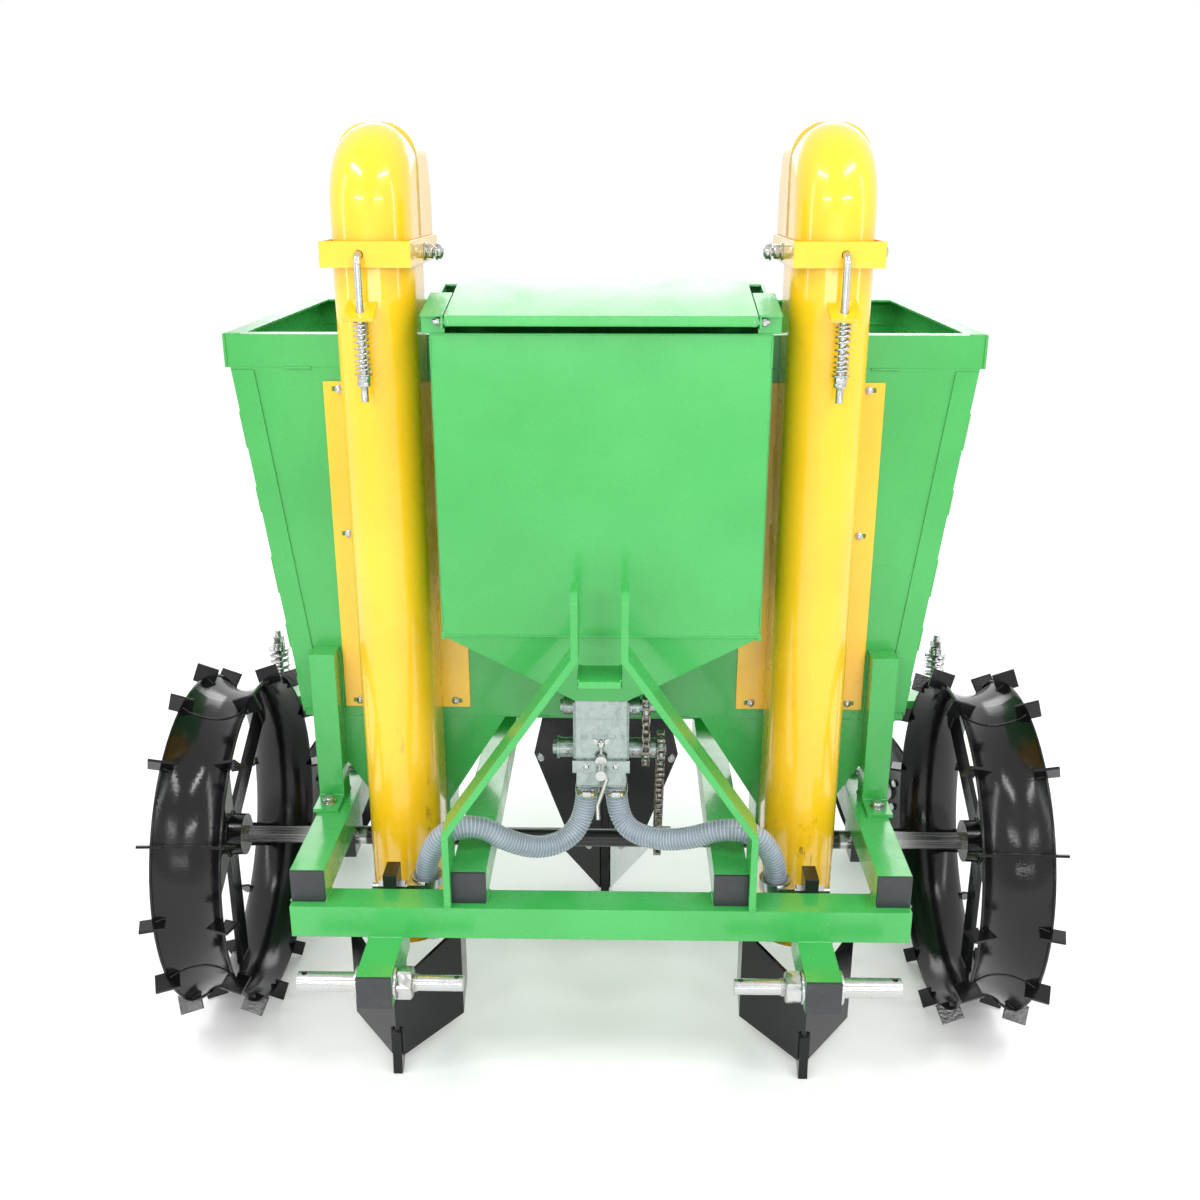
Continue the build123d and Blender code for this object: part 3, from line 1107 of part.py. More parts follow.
def furrow_opener():
    """The V-shaped opener with its chisel tip and its shank behind the crossbeam."""
    outer = [(ROW_X + OPENER_HALF, OPENER_REAR_Y), (ROW_X + OPENER_HALF, OPENER_SHOULDER_Y),
             (ROW_X, OPENER_APEX_Y), (ROW_X - OPENER_HALF, OPENER_SHOULDER_Y),
             (ROW_X - OPENER_HALF, OPENER_REAR_Y)]
    plates = prism_z(strip(outer, -OPENER_PLATE), (OPENER_BOTTOM_Z, OPENER_TOP_Z))
    slope_end = OPENER_SHOULDER_Y - 10
    front_cut = [(OPENER_APEX_Y - 20, OPENER_FRONT_TOP_Z - 6), (slope_end, OPENER_TOP_Z),
                 (slope_end, OPENER_TOP_Z + 10), (OPENER_APEX_Y - 20, OPENER_TOP_Z + 10)]
    heel_cut = [(OPENER_REAR_Y + 1, OPENER_BOTTOM_Z - 1), (OPENER_SHOULDER_Y, OPENER_BOTTOM_Z - 1),
                (OPENER_REAR_Y + 1, OPENER_BOTTOM_Z + 30)]
    wide = (ROW_X - OPENER_HALF - 10, ROW_X + OPENER_HALF + 10)
    plates = plates - prism_x(front_cut, wide) - prism_x(heel_cut, wide)
    shank = block((ROW_X - SHANK_HALF, ROW_X + SHANK_HALF), (SHANK_FRONT_Y, SHANK_REAR_Y),
                  (OPENER_BOTTOM_Z, SHANK_TOP_Z))
    shank -= rod_x(5 + BOLT_FIT, (ROW_X - 20, ROW_X + 20), (SHANK_FRONT_Y + SHANK_REAR_Y) / 2, RING_Z)
    nose = prism_x([(OPENER_TIP_Y, 0), (OPENER_TIP_Y + 6, OPENER_BOTTOM_Z + 48),
                    (SHANK_FRONT_Y, OPENER_BOTTOM_Z + 60), (SHANK_FRONT_Y + 10, OPENER_BOTTOM_Z),
                    (OPENER_TIP_Y + 14, 0)], (ROW_X - NOSE_HALF, ROW_X + NOSE_HALF))
    return plates + shank + nose


def ridger_y(x, z):
    """The depth of the ridger's flat wing at a point of its front view."""
    corner_x, corner_z = RIDGER_CORNER
    rake = 15 / 305
    splay = (111 - rake * (corner_z - 40)) / corner_x
    return RIDGER_FACE_Y + splay * x + rake * (z - 40)


def wing_plate(front_view, thickness, lift=0.0):
    """A flat plate on the ridger's right wing, given by its front view."""
    points = [Vector(x, ridger_y(x, z), z) for x, z in front_view]
    normal = (points[1] - points[0]).cross(points[2] - points[0]).normalized()
    if normal.Y < 0:
        normal = normal * -1
    raised = [tuple(point - normal * lift) for point in points]
    return prism(raised, tuple(normal * thickness))


def centre_ridger():
    """The two wings, the rib between them and the shank behind the toolbar."""
    corner_x, corner_z = RIDGER_CORNER
    wing = wing_plate([(0, 40), (60, 60), (corner_x, corner_z), (119, 345), (0, 345)], RIDGER_PLATE)
    nose = [(RIDGER_TIP_Y, 0), (RIDGER_FACE_Y - 1, 50), (ridger_y(0, 345) - 2, 345), (RAIL_REAR_Y + 40, 345),
            (RAIL_REAR_Y + 40, 150), (ridger_y(0, 0) + 20, 2)]
    shank = block((-SHANK_HALF, SHANK_HALF), (RAIL_REAR_Y, RAIL_REAR_Y + SHANK_DEPTH),
                  (150, RIDGER_SHANK_TOP_Z))
    body = prism_x(nose, (-RIDGER_RIB_HALF, RIDGER_RIB_HALF)) + shank
    for side in both_sides(wing):
        body += side
    return body


def ridger_shares():
    """The bolted share blades on the front of the ridger's wings."""
    inner = RIDGER_RIB_HALF
    blade = wing_plate([(inner, 4), (92, 66), (70, 104), (inner, 104)], SHARE_THICKNESS, lift=SHARE_THICKNESS)
    rib = block((-RIDGER_RIB_HALF, RIDGER_RIB_HALF), (RIDGER_TIP_Y - 10, RAIL_REAR_Y), (0, 200))
    return both_sides(blade - rib)


def on_disc_axis(shape):
    """A piece made about the Z axis, moved onto the right disc's axis."""
    return Pos(DISC_X, DISC_Y, DISC_Z) * Rot(0, 0, DISC_TOE) * Rot(0, 90, 0) * shape


def covering_disc():
    """A dished disc with its hub."""
    sphere = (DISC_RADIUS ** 2 + DISC_DISH ** 2) / (2 * DISC_DISH)
    dish = Pos(0, 0, -sphere) * (Sphere(sphere) - Sphere(sphere - DISC_THICKNESS))
    dish &= Pos(0, 0, -DISC_DISH) * Cylinder(DISC_RADIUS, 2 * DISC_DISH + 10)
    hub = Pos(0, 0, 14) * Cylinder(22, 32)
    bore = Cylinder(STUB_RADIUS + RUN_FIT, 200)
    return on_disc_axis(dish + hub - bore)


def disc_arm():
    """The arm with its pivot tube, its lever for the pull rod and the disc's stub axle."""
    tube_x = (EAR_X[0][1] + GAP, EAR_X[1][0] - GAP)
    tube = rod_x(DISC_PIVOT_TUBE_RADIUS, tube_x, DISC_PIVOT_Y, DISC_PIVOT_Z)
    foot_y = DISC_Y + STUB_LENGTH * sin(radians(DISC_TOE))
    plate = prism_x([(DISC_PIVOT_Y - 14, DISC_PIVOT_Z), (DISC_PIVOT_Y + 16, DISC_PIVOT_Z + 4),
                     (foot_y + 22, DISC_Z + 4), (foot_y + 14, DISC_Z - 20),
                     (foot_y - 18, DISC_Z - 16)], ARM_X)
    lever_end = PULL_ROD_Y - 10
    lever = prism_x([(DISC_PIVOT_Y, DISC_PIVOT_Z - 10), (DISC_PIVOT_Y, DISC_PIVOT_Z + 12),
                     (lever_end, DISC_PIVOT_Z + 14), (lever_end, DISC_PIVOT_Z - 4)], LEVER_PLATE_X)
    pin_x = (LEVER_PLATE_X[0] - 14, LEVER_PLATE_X[0] + 1)
    pin = rod_x(5, pin_x, PULL_ROD_Y, DISC_PIVOT_Z + PULL_EYE_RISE)
    stub = on_disc_axis(Pos(0, 0, STUB_LENGTH / 2 - 6) * Cylinder(STUB_RADIUS, STUB_LENGTH + 12))
    bore_x = (tube_x[0] - 1, tube_x[1] + 1)
    arm = tube + plate + lever + pin + stub
    return arm - rod_x(DISC_PIVOT_RADIUS + RUN_FIT, bore_x, DISC_PIVOT_Y, DISC_PIVOT_Z)


def disc_pivot_pin():
    """The bolt through a pair of ears that a disc arm turns on."""
    pin = rod_x(DISC_PIVOT_RADIUS, (EAR_X[0][0] - 12, EAR_X[1][1] + 4), DISC_PIVOT_Y, DISC_PIVOT_Z)
    pin += hex_x(24, (EAR_X[0][0] - 10, EAR_X[0][0]), DISC_PIVOT_Y, DISC_PIVOT_Z)
    return pin + hex_x(24, (EAR_X[1][1], EAR_X[1][1] + 9), DISC_PIVOT_Y, DISC_PIVOT_Z)


def pull_rod():
    """The rod that the disc arm pulls down against its spring, with its eye, plate and nuts."""
    eye_z = DISC_PIVOT_Z + PULL_EYE_RISE
    eye_x = (PULL_ROD_X - 5.5, PULL_ROD_X + 5.5)
    eye = block(eye_x, (PULL_ROD_Y - 11, PULL_ROD_Y + 11), (eye_z - 11, eye_z + 11))
    rod = rod_z(PULL_ROD_RADIUS - 0.5, PULL_ROD_X, PULL_ROD_Y, (eye_z + 8, PULL_ROD_TOP_Z))
    plate = rod_z(DISC_SPRING_RADIUS + 1, PULL_ROD_X, PULL_ROD_Y, (DISC_SPRING_TOP_Z, DISC_SPRING_TOP_Z + 4))
    nut = hex_z(19, PULL_ROD_X, PULL_ROD_Y, (DISC_SPRING_TOP_Z + 4, DISC_SPRING_TOP_Z + 14))
    lock_nut = hex_z(19, PULL_ROD_X, PULL_ROD_Y, (DISC_SPRING_TOP_Z + 16, DISC_SPRING_TOP_Z + 26))
    return eye + rod + plate + nut + lock_nut - rod_x(8, (eye_x[0] - 1, eye_x[1] + 1), PULL_ROD_Y, eye_z)


def disc_spring():
    """The coil spring on the toolbar round a pull rod, as its outer envelope."""
    z = (TOOLBAR_TOP_Z, DISC_SPRING_TOP_Z)
    room = rod_z(DISC_SPRING_RADIUS - DISC_SPRING_WIRE, PULL_ROD_X, PULL_ROD_Y, z)
    return rod_z(DISC_SPRING_RADIUS, PULL_ROD_X, PULL_ROD_Y, z) - room


# --- Assembly -----------------------------------------------------------------------------

def make_nodes():
    """Every named piece with its solids."""
    nodes = {
        "front_crossbeam": [crossbeam()],
        "outer_rails": rails(OUTER_RAIL_X),
        "inner_rails": rails(INNER_RAIL_X),
        "rear_toolbar": [toolbar()],
        "hitch_arms": both_sides(hitch_arm()),
        "tube_end_caps": tube_caps(),
        "lower_link_pins": both_sides(link_pin()),
        "hex_nuts": [side for piece in link_nut() + hook_nuts() for side in both_sides(piece)],
        "mast_spacer": [mast_spacer()],
        "hopper_posts": hopper_posts(),
        "frame_bolts": frame_bolts(),
        "drive_axle": [axle()],
        "axle_bearings": both_sides(axle_bearing()),
        "drive_sprocket": [drive_sprocket()],
        "lower_belt_drums": both_sides(lower_drum()),
        "potato_hopper": [potato_hopper()],
        "hopper_rim": [hopper_rim()],
        "hopper_divider": [hopper_divider()],
        "duct_bolts": duct_bolts(),
        "cap_collars": both_sides(collar()),
        "tension_hooks": both_sides(tension_hook()),
        "hook_springs": both_sides(hook_spring()),
        "roller_bolts": both_sides(roller_bolt()),
        "cup_belts": both_sides(belt()),
        "belt_cups": [side for piece in belt_cups() for side in both_sides(piece)],
        "fertiliser_hopper": [fertiliser_hopper()],
        "fertiliser_lid": [fertiliser_lid()],
        "lid_hinge_rod": [lid_hinge_rod()],
        "metering_housing": [metering_housing()],
        "metering_shaft": [metering_shaft()],
        "agitator_shaft": [agitator_shaft()],
        "outlet_box": [outlet_box()],
        "rate_lever": [rate_lever()],
        "gate_screw": [gate_screw()],
        "roller_chains": chain(DRIVE_CHAIN_X, (0, AXLE_Z), (METER_Y, METER_SHAFT_Z))
                         + chain(METER_CHAIN_X, (METER_Y, METER_SHAFT_Z), (METER_Y, AGITATOR_Z)),
        "left_hose": [hose(LEFT_HOSE_ROUTE)],
        "right_hose": [hose(RIGHT_HOSE_ROUTE)],
        "hose_clamps": [hose_clamp(side) for side in (-1, 1)],
        "hose_rings": [hose_ring(side) for side in (-1, 1)],
        "centre_ridger": [centre_ridger()],
        "ridger_shares": ridger_shares(),
        "disc_pivot_pins": both_sides(disc_pivot_pin()),
    }
    tread, lugs, hub = wheel_tread(), wheel_lugs(), wheel_hub()
    nodes["wheel_lugs"] = [side for lug in lugs for side in both_sides(lug)]
    nodes["wheel_hubs"] = both_sides(hub)
    paired = {"wheel_tread": tread, "mast_bar": mast_bar(), "boot": boot(), "seed_duct": seed_duct(),
              "duct_cap": duct_cap(), "top_roller": top_roller(), "furrow_opener": furrow_opener(),
              "disc_arm": disc_arm(), "covering_disc": covering_disc(), "pull_rod": pull_rod(),
              "disc_spring": disc_spring()}
    joined = ("mast_bar", "boot", "furrow_opener", "wheel_tread", "seed_duct", "duct_cap")
    for name, shape in paired.items():
        if name in joined:
            nodes[name + "s"] = both_sides(shape)
        else:
            nodes["right_" + name] = [shape]
            nodes["left_" + name] = [mirrored(shape)]
    return nodes


def write_nodes(nodes):
    """Write each piece as a STEP file, with the origin at the centre of the footprint."""
    os.makedirs("parts", exist_ok=True)
    whole = Compound([solid for shapes in nodes.values() for shape in shapes for solid in shape.solids()])
    box = whole.bounding_box()
    shift = Pos(0, -(box.min.Y + box.max.Y) / 2, 0)
    for name, shapes in nodes.items():
        solids = [solid for shape in shapes for solid in shape.solids()]
        export_step(shift * Compound(solids), f"parts/{name}.step")
    size = box.max - box.min
    print(f"{len(nodes)} nodes, overall {size.X:.1f} x {size.Y:.1f} x {size.Z:.1f}, lowest Z {box.min.Z:.2f}")
    print(f"axle at Y {shift.position.Y:.3f}, Z {AXLE_Z:.3f}, X middle {(box.min.X + box.max.X) / 2:.3f}")


write_nodes(make_nodes())
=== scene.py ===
"""Two-row potato planter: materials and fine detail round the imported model.

Sizes inside the piece builders are millimetres, with Y = 0 on the axle line and Z up from the
ground.
"""
import json
import math

import bmesh
import bpy
from mathutils import Matrix, Vector


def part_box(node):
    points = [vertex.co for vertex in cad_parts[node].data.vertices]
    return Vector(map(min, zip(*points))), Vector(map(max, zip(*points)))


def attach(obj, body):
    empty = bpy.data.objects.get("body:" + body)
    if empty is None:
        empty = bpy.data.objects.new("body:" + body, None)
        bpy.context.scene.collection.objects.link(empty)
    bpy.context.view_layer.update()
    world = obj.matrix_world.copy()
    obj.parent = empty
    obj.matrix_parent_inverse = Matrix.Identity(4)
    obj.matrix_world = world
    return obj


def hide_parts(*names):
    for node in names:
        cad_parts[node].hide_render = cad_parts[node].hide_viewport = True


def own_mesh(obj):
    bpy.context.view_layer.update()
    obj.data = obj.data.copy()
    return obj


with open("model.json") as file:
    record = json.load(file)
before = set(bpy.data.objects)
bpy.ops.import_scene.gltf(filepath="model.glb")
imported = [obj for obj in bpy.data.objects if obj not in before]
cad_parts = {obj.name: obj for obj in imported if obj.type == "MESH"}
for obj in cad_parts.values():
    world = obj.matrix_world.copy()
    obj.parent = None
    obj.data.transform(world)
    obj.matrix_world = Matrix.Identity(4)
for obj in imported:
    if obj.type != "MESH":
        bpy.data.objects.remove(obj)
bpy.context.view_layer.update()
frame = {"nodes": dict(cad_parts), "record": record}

MM = 0.001
AXLE_LOW, AXLE_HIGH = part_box("drive_axle")
AXLE_Y = (AXLE_LOW.y + AXLE_HIGH.y) / 2
AXLE_Z = (AXLE_LOW.z + AXLE_HIGH.z) / 2 / MM
X, Y, Z = Vector((1, 0, 0)), Vector((0, 1, 0)), Vector((0, 0, 1))
SIDES = (-1, 1)
NAMED_SIDES = (("left", -1), ("right", 1))

ROW_X = 312.5
RAIL_CENTRES = (425.0, 190.0)
POST_X = 437.0
BEAM_FRONT = -264.0
BEAM_REAR = -214.0
BEAM_BOTTOM = 263.0
BEAM_TOP = 313.0
RAIL_TOP = 363.0
TOOLBAR_FRONT = 292.0
TOOLBAR_REAR = 342.0
TOOLBAR_TOP = 403.0
METER_Y = -98.0
METER_FRONT = -137.0
METER_SHAFT_Z = 492.0
METER_BOTTOM = 471.0
METER_TOP = 586.0
OUTLET_BOTTOM = 445.0
AGITATOR_Z = 561.0
WHEEL_X = 601.5
HUB_X = 621.5
LUG_COUNT = 14
LINK_PIN_Y = -336.0
LINK_PIN_Z = 238.0
HOOK_X = ROW_X + 8.0
HOOK_Y = -136.0
CAP_HALF = 55.0
CAP_LOW = 1236.0
CAP_UPRIGHT = 94.0
FERT_HALF = 225.0
LID_HINGE_Y = -165.0
LID_HINGE_Z = 1135.0
DISC_SPRING_X = 605.5
DISC_SPRING_Y = 317.0


def to_row(point):
    """A point in the builders' millimetres as metres in the row frame."""
    return Vector((point[0] * MM, point[1] * MM + AXLE_Y, point[2] * MM))


# --- Camera, light and stage --------------------------------------------------------------

def make_camera():
    """The camera in front of the hitch, a little above the seed ducts."""
    data = bpy.data.cameras.new("camera")
    data.sensor_width = 36.0
    data.lens = 36.66
    data.clip_end = 60.0
    camera = bpy.data.objects.new("camera", data)
    camera.location = (0.03, -1.905, 1.308)
    camera.rotation_euler = (math.radians(71.1), 0.0, math.radians(1.1))
    bpy.context.scene.collection.objects.link(camera)
    bpy.context.scene.camera = camera


def area_light(name, place, target, size, power):
    """A soft rectangular lamp that points at a target."""
    data = bpy.data.lights.new(name, "AREA")
    data.shape = "RECTANGLE"
    data.size, data.size_y = size
    data.energy = power
    lamp = bpy.data.objects.new(name, data)
    lamp.location = place
    lamp.rotation_euler = (Vector(target) - Vector(place)).to_track_quat("-Z", "Y").to_euler()
    bpy.context.scene.collection.objects.link(lamp)


def make_lights():
    """Studio softboxes and an even white surround."""
    middle = (0.0, 0.0, 0.7)
    for side in SIDES:
        area_light("strip_front", (side * 1.5, -3.1, 2.2), middle, (1.5, 0.16), 17)
        area_light("strip_ceiling", (side * 1.3, -1.2, 3.0), middle, (1.3, 0.24), 17)
        area_light("strip_side", (side * 3.2, -1.0, 1.9), middle, (0.3, 2.4), 14)
    area_light("strip_low", (0.0, -3.6, 0.9), (0.0, 0.0, 0.4), (2.6, 0.16), 10)
    area_light("soft_rear", (0.0, 3.2, 2.2), middle, (3.0, 1.2), 42)
    world = bpy.data.worlds.new("studio")
    world.use_nodes = True
    background = world.node_tree.nodes["Background"]
    background.inputs["Color"].default_value = (1.0, 1.0, 1.0, 1.0)
    background.inputs["Strength"].default_value = 1.0
    bpy.context.scene.world = world
    bpy.context.scene.view_settings.view_transform = "Standard"


# --- Materials ----------------------------------------------------------------------------

class Paint:
    """A node tree being built: each method adds a node and returns the socket it gives."""

    def __init__(self, name):
        self.material = bpy.data.materials.new(name)
        self.material.use_nodes = True
        self.tree = self.material.node_tree
        self.shader = self.tree.nodes["Principled BSDF"]
        self.place = self.add("ShaderNodeTexCoord").outputs["Object"]

    def add(self, kind, **settings):
        node = self.tree.nodes.new(kind)
        for key, value in settings.items():
            setattr(node, key, value)
        return node

    def feed(self, socket, value):
        """Links a socket, or sets a plain number or colour."""
        if isinstance(value, bpy.types.NodeSocket):
            self.tree.links.new(value, socket)
        else:
            socket.default_value = value

    def put(self, **values):
        """Sets or links inputs of the shader, with underscores for spaces."""
        for key, value in values.items():
            self.feed(self.shader.inputs[key.replace("_", " ")], value)

    def noise(self, scale, detail=3.0, roughness=0.5, place=None):
        node = self.add("ShaderNodeTexNoise")
        self.feed(node.inputs["Vector"], place or self.place)
        node.inputs["Scale"].default_value = scale
        node.inputs["Detail"].default_value = detail
        node.inputs["Roughness"].default_value = roughness
        return node.outputs["Fac"]

    def cells(self, scale):
        node = self.add("ShaderNodeTexVoronoi")
        self.feed(node.inputs["Vector"], self.place)
        node.inputs["Scale"].default_value = scale
        return node.outputs["Color"]

    def stretched(self, x, y, z):
        node = self.add("ShaderNodeMapping")
        self.feed(node.inputs["Vector"], self.place)
        node.inputs["Scale"].default_value = (x, y, z)
        return node.outputs["Vector"]

    def coordinate(self, axis):
        """X is to the right of the machine's middle, and Z is up from the ground, in metres."""
        node = self.add("ShaderNodeSeparateXYZ")
        self.feed(node.inputs["Vector"], self.place)
        return node.outputs[axis]

    def span(self, value, low, high, first=0.0, last=1.0):
        node = self.add("ShaderNodeMapRange")
        self.feed(node.inputs["Value"], value)
        for key, number in (("From Min", low), ("From Max", high), ("To Min", first), ("To Max", last)):
            node.inputs[key].default_value = number
        return node.outputs["Result"]

    def times(self, first, second):
        node = self.add("ShaderNodeMath", operation="MULTIPLY")
        self.feed(node.inputs[0], first)
        self.feed(node.inputs[1], second)
        return node.outputs[0]

    def blend(self, share, first, second):
        node = self.add("ShaderNodeMix", data_type="RGBA")
        self.feed(node.inputs["Factor"], share)
        self.feed(node.inputs[6], first)
        self.feed(node.inputs[7], second)
        return node.outputs[2]

    def rounded(self, radius):
        """A normal that rounds hard edges by a radius in metres."""
        node = self.add("ShaderNodeBevel", samples=4)
        node.inputs["Radius"].default_value = radius
        return node.outputs["Normal"]

    def edge(self, normal, low, high):
        """How near a point is to a hard edge, from the rounded normal's turn."""
        flat = self.add("ShaderNodeNewGeometry").outputs["Normal"]
        node = self.add("ShaderNodeVectorMath", operation="DOT_PRODUCT")
        self.feed(node.inputs[0], normal)
        self.feed(node.inputs[1], flat)
        return self.span(node.outputs["Value"], high, low)

    def bump(self, height, distance, normal=None):
        node = self.add("ShaderNodeBump")
        node.inputs["Strength"].default_value = 1.0
        node.inputs["Distance"].default_value = distance
        self.feed(node.inputs["Height"], height)
        if normal:
            self.feed(node.inputs["Normal"], normal)
        self.feed(self.shader.inputs["Normal"], node.outputs["Normal"])


def colour(red, green, blue):
    return (red, green, blue, 1.0)


def sprayed(name, base, shade, chip, gloss=0.24, peel=0.00012):
    """Gloss enamel over steel: uneven coat, orange peel, chipped edges and fine dust."""
    paint = Paint(name)
    patches = paint.span(paint.noise(5.0, 4.0), 0.35, 0.65)
    body = paint.blend(patches, base, shade)
    soft = paint.rounded(0.0016)
    worn = paint.times(paint.edge(soft, 0.86, 0.985), paint.span(paint.noise(55.0, 5.0, 0.7), 0.56, 0.68))
    specks = paint.span(paint.noise(420.0, 2.0), 0.74, 0.80, 0.0, 0.5)
    body = paint.blend(worn, body, chip)
    body = paint.blend(specks, body, chip)
    roughness = paint.span(paint.noise(14.0, 5.0, 0.65), 0.3, 0.7, gloss - 0.07, gloss + 0.12)
    paint.put(Base_Color=body, Roughness=roughness, Coat_Weight=0.35, Coat_Roughness=0.09)
    paint.bump(paint.noise(260.0, 2.0), peel, soft)
    return paint


def green_paint():
    paint = sprayed("green_enamel", colour(0.040, 0.37, 0.070), colour(0.052, 0.42, 0.090),
                    colour(0.030, 0.22, 0.050))
    return paint.material


def yellow_paint():
    """Yellow enamel, scraped dark where it works near the soil."""
    paint = sprayed("yellow_enamel", colour(0.90, 0.50, 0.006), colour(0.94, 0.56, 0.010),
                    colour(0.50, 0.27, 0.02))
    body = paint.shader.inputs["Base Color"].links[0].from_socket
    low = paint.span(paint.coordinate("Z"), 0.62, 0.22)
    scrapes = paint.span(paint.noise(16.0, 6.0, 0.75, paint.stretched(2.0, 2.0, 0.7)), 0.63, 0.68)
    paint.put(Base_Color=paint.blend(paint.times(low, scrapes), body, colour(0.10, 0.065, 0.035)),
              Coat_Weight=0.7, Coat_Roughness=0.04)
    return paint.material


def black_paint():
    paint = sprayed("black_enamel", colour(0.003, 0.003, 0.004), colour(0.006, 0.006, 0.007),
                    colour(0.06, 0.057, 0.054), gloss=0.13, peel=0.0002)
    paint.put(Coat_Weight=0.0, Specular_IOR_Level=0.36)
    return paint.material


def zinc_plate(name="zinc", tint=(0.52, 0.54, 0.56), low=0.16, high=0.32):
    """Bright zinc plating with a cloudy passivated film."""
    paint = Paint(name)
    cloud = paint.span(paint.noise(24.0, 4.0), 0.3, 0.7)
    warm = colour(tint[0] * 0.97, tint[1] * 0.93, tint[2] * 0.84)
    soft = paint.rounded(0.0007)
    paint.put(Base_Color=paint.blend(cloud, colour(*tint), warm), Metallic=1.0,
              Roughness=paint.span(paint.noise(90.0, 5.0, 0.7), 0.3, 0.7, low, high))
    paint.bump(paint.noise(700.0, 2.0), 0.00004, soft)
    return paint.material


def galvanised_steel():
    """Galvanised sheet with its spangle."""
    paint = Paint("galvanised")
    spangle = paint.cells(130.0)
    grey = paint.add("ShaderNodeRGBToBW")
    paint.feed(grey.inputs["Color"], spangle)
    tone = paint.span(grey.outputs["Val"], 0.2, 0.8)
    smudge = paint.span(paint.noise(28.0, 4.0, 0.6, paint.stretched(1.0, 1.0, 0.4)), 0.52, 0.72)
    body = paint.blend(tone, colour(0.31, 0.37, 0.355), colour(0.37, 0.43, 0.41))
    body = paint.blend(smudge, body, colour(0.19, 0.24, 0.225))
    paint.put(Base_Color=body, Metallic=0.95, Roughness=paint.span(tone, 0.0, 1.0, 0.24, 0.34))
    paint.bump(paint.noise(180.0, 4.0), 0.0001, paint.rounded(0.0008))
    return paint.material


def chain_steel():
    """Oiled chain steel, bronze in the hollows."""
    paint = Paint("oiled_chain")
    oil = paint.span(paint.noise(160.0, 4.0), 0.35, 0.65)
    body = paint.blend(oil, colour(0.42, 0.39, 0.36), colour(0.10, 0.075, 0.055))
    paint.put(Base_Color=body, Metallic=0.95, Roughness=paint.span(oil, 0.0, 1.0, 0.25, 0.42))
    paint.bump(paint.noise(900.0, 2.0), 0.00003, paint.rounded(0.0003))
    return paint.material


def moulded_plastic(name, tone, roughness=0.5):
    """Matt moulded plastic with a fine eroded grain."""
    paint = Paint(name)
    scuff = paint.span(paint.noise(30.0, 6.0, 0.7, paint.stretched(1.0, 1.0, 3.0)), 0.60, 0.70, 0.0, 0.6)
    paler = colour(*(part * 2.2 + 0.02 for part in tone))
    paint.put(Base_Color=paint.blend(scuff, colour(*tone), paler),
              Roughness=paint.span(paint.noise(70.0, 4.0), 0.3, 0.7, roughness - 0.08, roughness + 0.1))
    paint.bump(paint.noise(1500.0, 2.0), 0.00005, paint.rounded(0.0012))
    return paint.material


def belt_rubber():
    """Woven rubber belt, dusty with soil."""
    paint = Paint("belt_rubber")
    weave = paint.add("ShaderNodeTexWave", wave_type="BANDS", bands_direction="Z")
    paint.feed(weave.inputs["Vector"], paint.place)
    weave.inputs["Scale"].default_value = 180.0
    dust = paint.span(paint.noise(20.0, 5.0, 0.7), 0.45, 0.7)
    body = paint.blend(dust, colour(0.018, 0.018, 0.018), colour(0.07, 0.06, 0.05))
    paint.put(Base_Color=body, Roughness=0.75)
    paint.bump(weave.outputs["Fac"], 0.0002)
    return paint.material


def clear_pvc(name, tone, transmission):
    """Reinforced clear hose: cloudy vinyl that passes some light."""
    paint = Paint(name)
    cloud = paint.span(paint.noise(35.0, 3.0), 0.3, 0.7)
    darker = colour(*(part * 0.8 for part in tone))
    paint.put(Base_Color=paint.blend(cloud, colour(*tone), darker), Transmission_Weight=transmission,
              Roughness=0.16, IOR=1.42, Coat_Weight=0.5, Coat_Roughness=0.06)
    paint.bump(paint.noise(300.0, 2.0), 0.00005)
    return paint.material


def share_steel_painted_shade():
    """Share steel: the right blade bright steel, the left one the same steel painted near-black as shade."""
    paint = Paint("share_steel_painted_shade")
    scratch = paint.noise(60.0, 3.0, 0.6, paint.stretched(1.0, 12.0, 1.0))
    bright = paint.blend(scratch, colour(0.86, 0.87, 0.89), colour(0.70, 0.71, 0.73))
    right = paint.span(paint.coordinate("X"), -0.0005, 0.0005)
    # The left blade's near-black colour, with no metal, is painted shade; both blades are the same bright
    # steel.
    paint.put(Base_Color=paint.blend(right, colour(0.012, 0.012, 0.013), bright), Metallic=right,
              Roughness=paint.span(scratch, 0.3, 0.7, 0.14, 0.32))
    paint.bump(scratch, 0.00008, paint.rounded(0.0006))
    return paint.material


def axle_steel():
    """The axle: bright outside the rails, black and oily between them."""
    paint = Paint("axle_steel")
    node = paint.add("ShaderNodeMath", operation="ABSOLUTE")
    paint.feed(node.inputs[0], paint.coordinate("X"))
    bright = paint.span(node.outputs[0], 0.388, 0.392)
    draw = paint.noise(50.0, 3.0, 0.6, paint.stretched(0.05, 8.0, 8.0))
    steel = paint.blend(draw, colour(0.62, 0.63, 0.63), colour(0.36, 0.36, 0.35))
    paint.put(Base_Color=paint.blend(bright, colour(0.010, 0.010, 0.011), steel), Metallic=bright,
              Roughness=paint.span(draw, 0.3, 0.7, 0.18, 0.34))
    paint.bump(draw, 0.00008, paint.rounded(0.0008))
    return paint.material


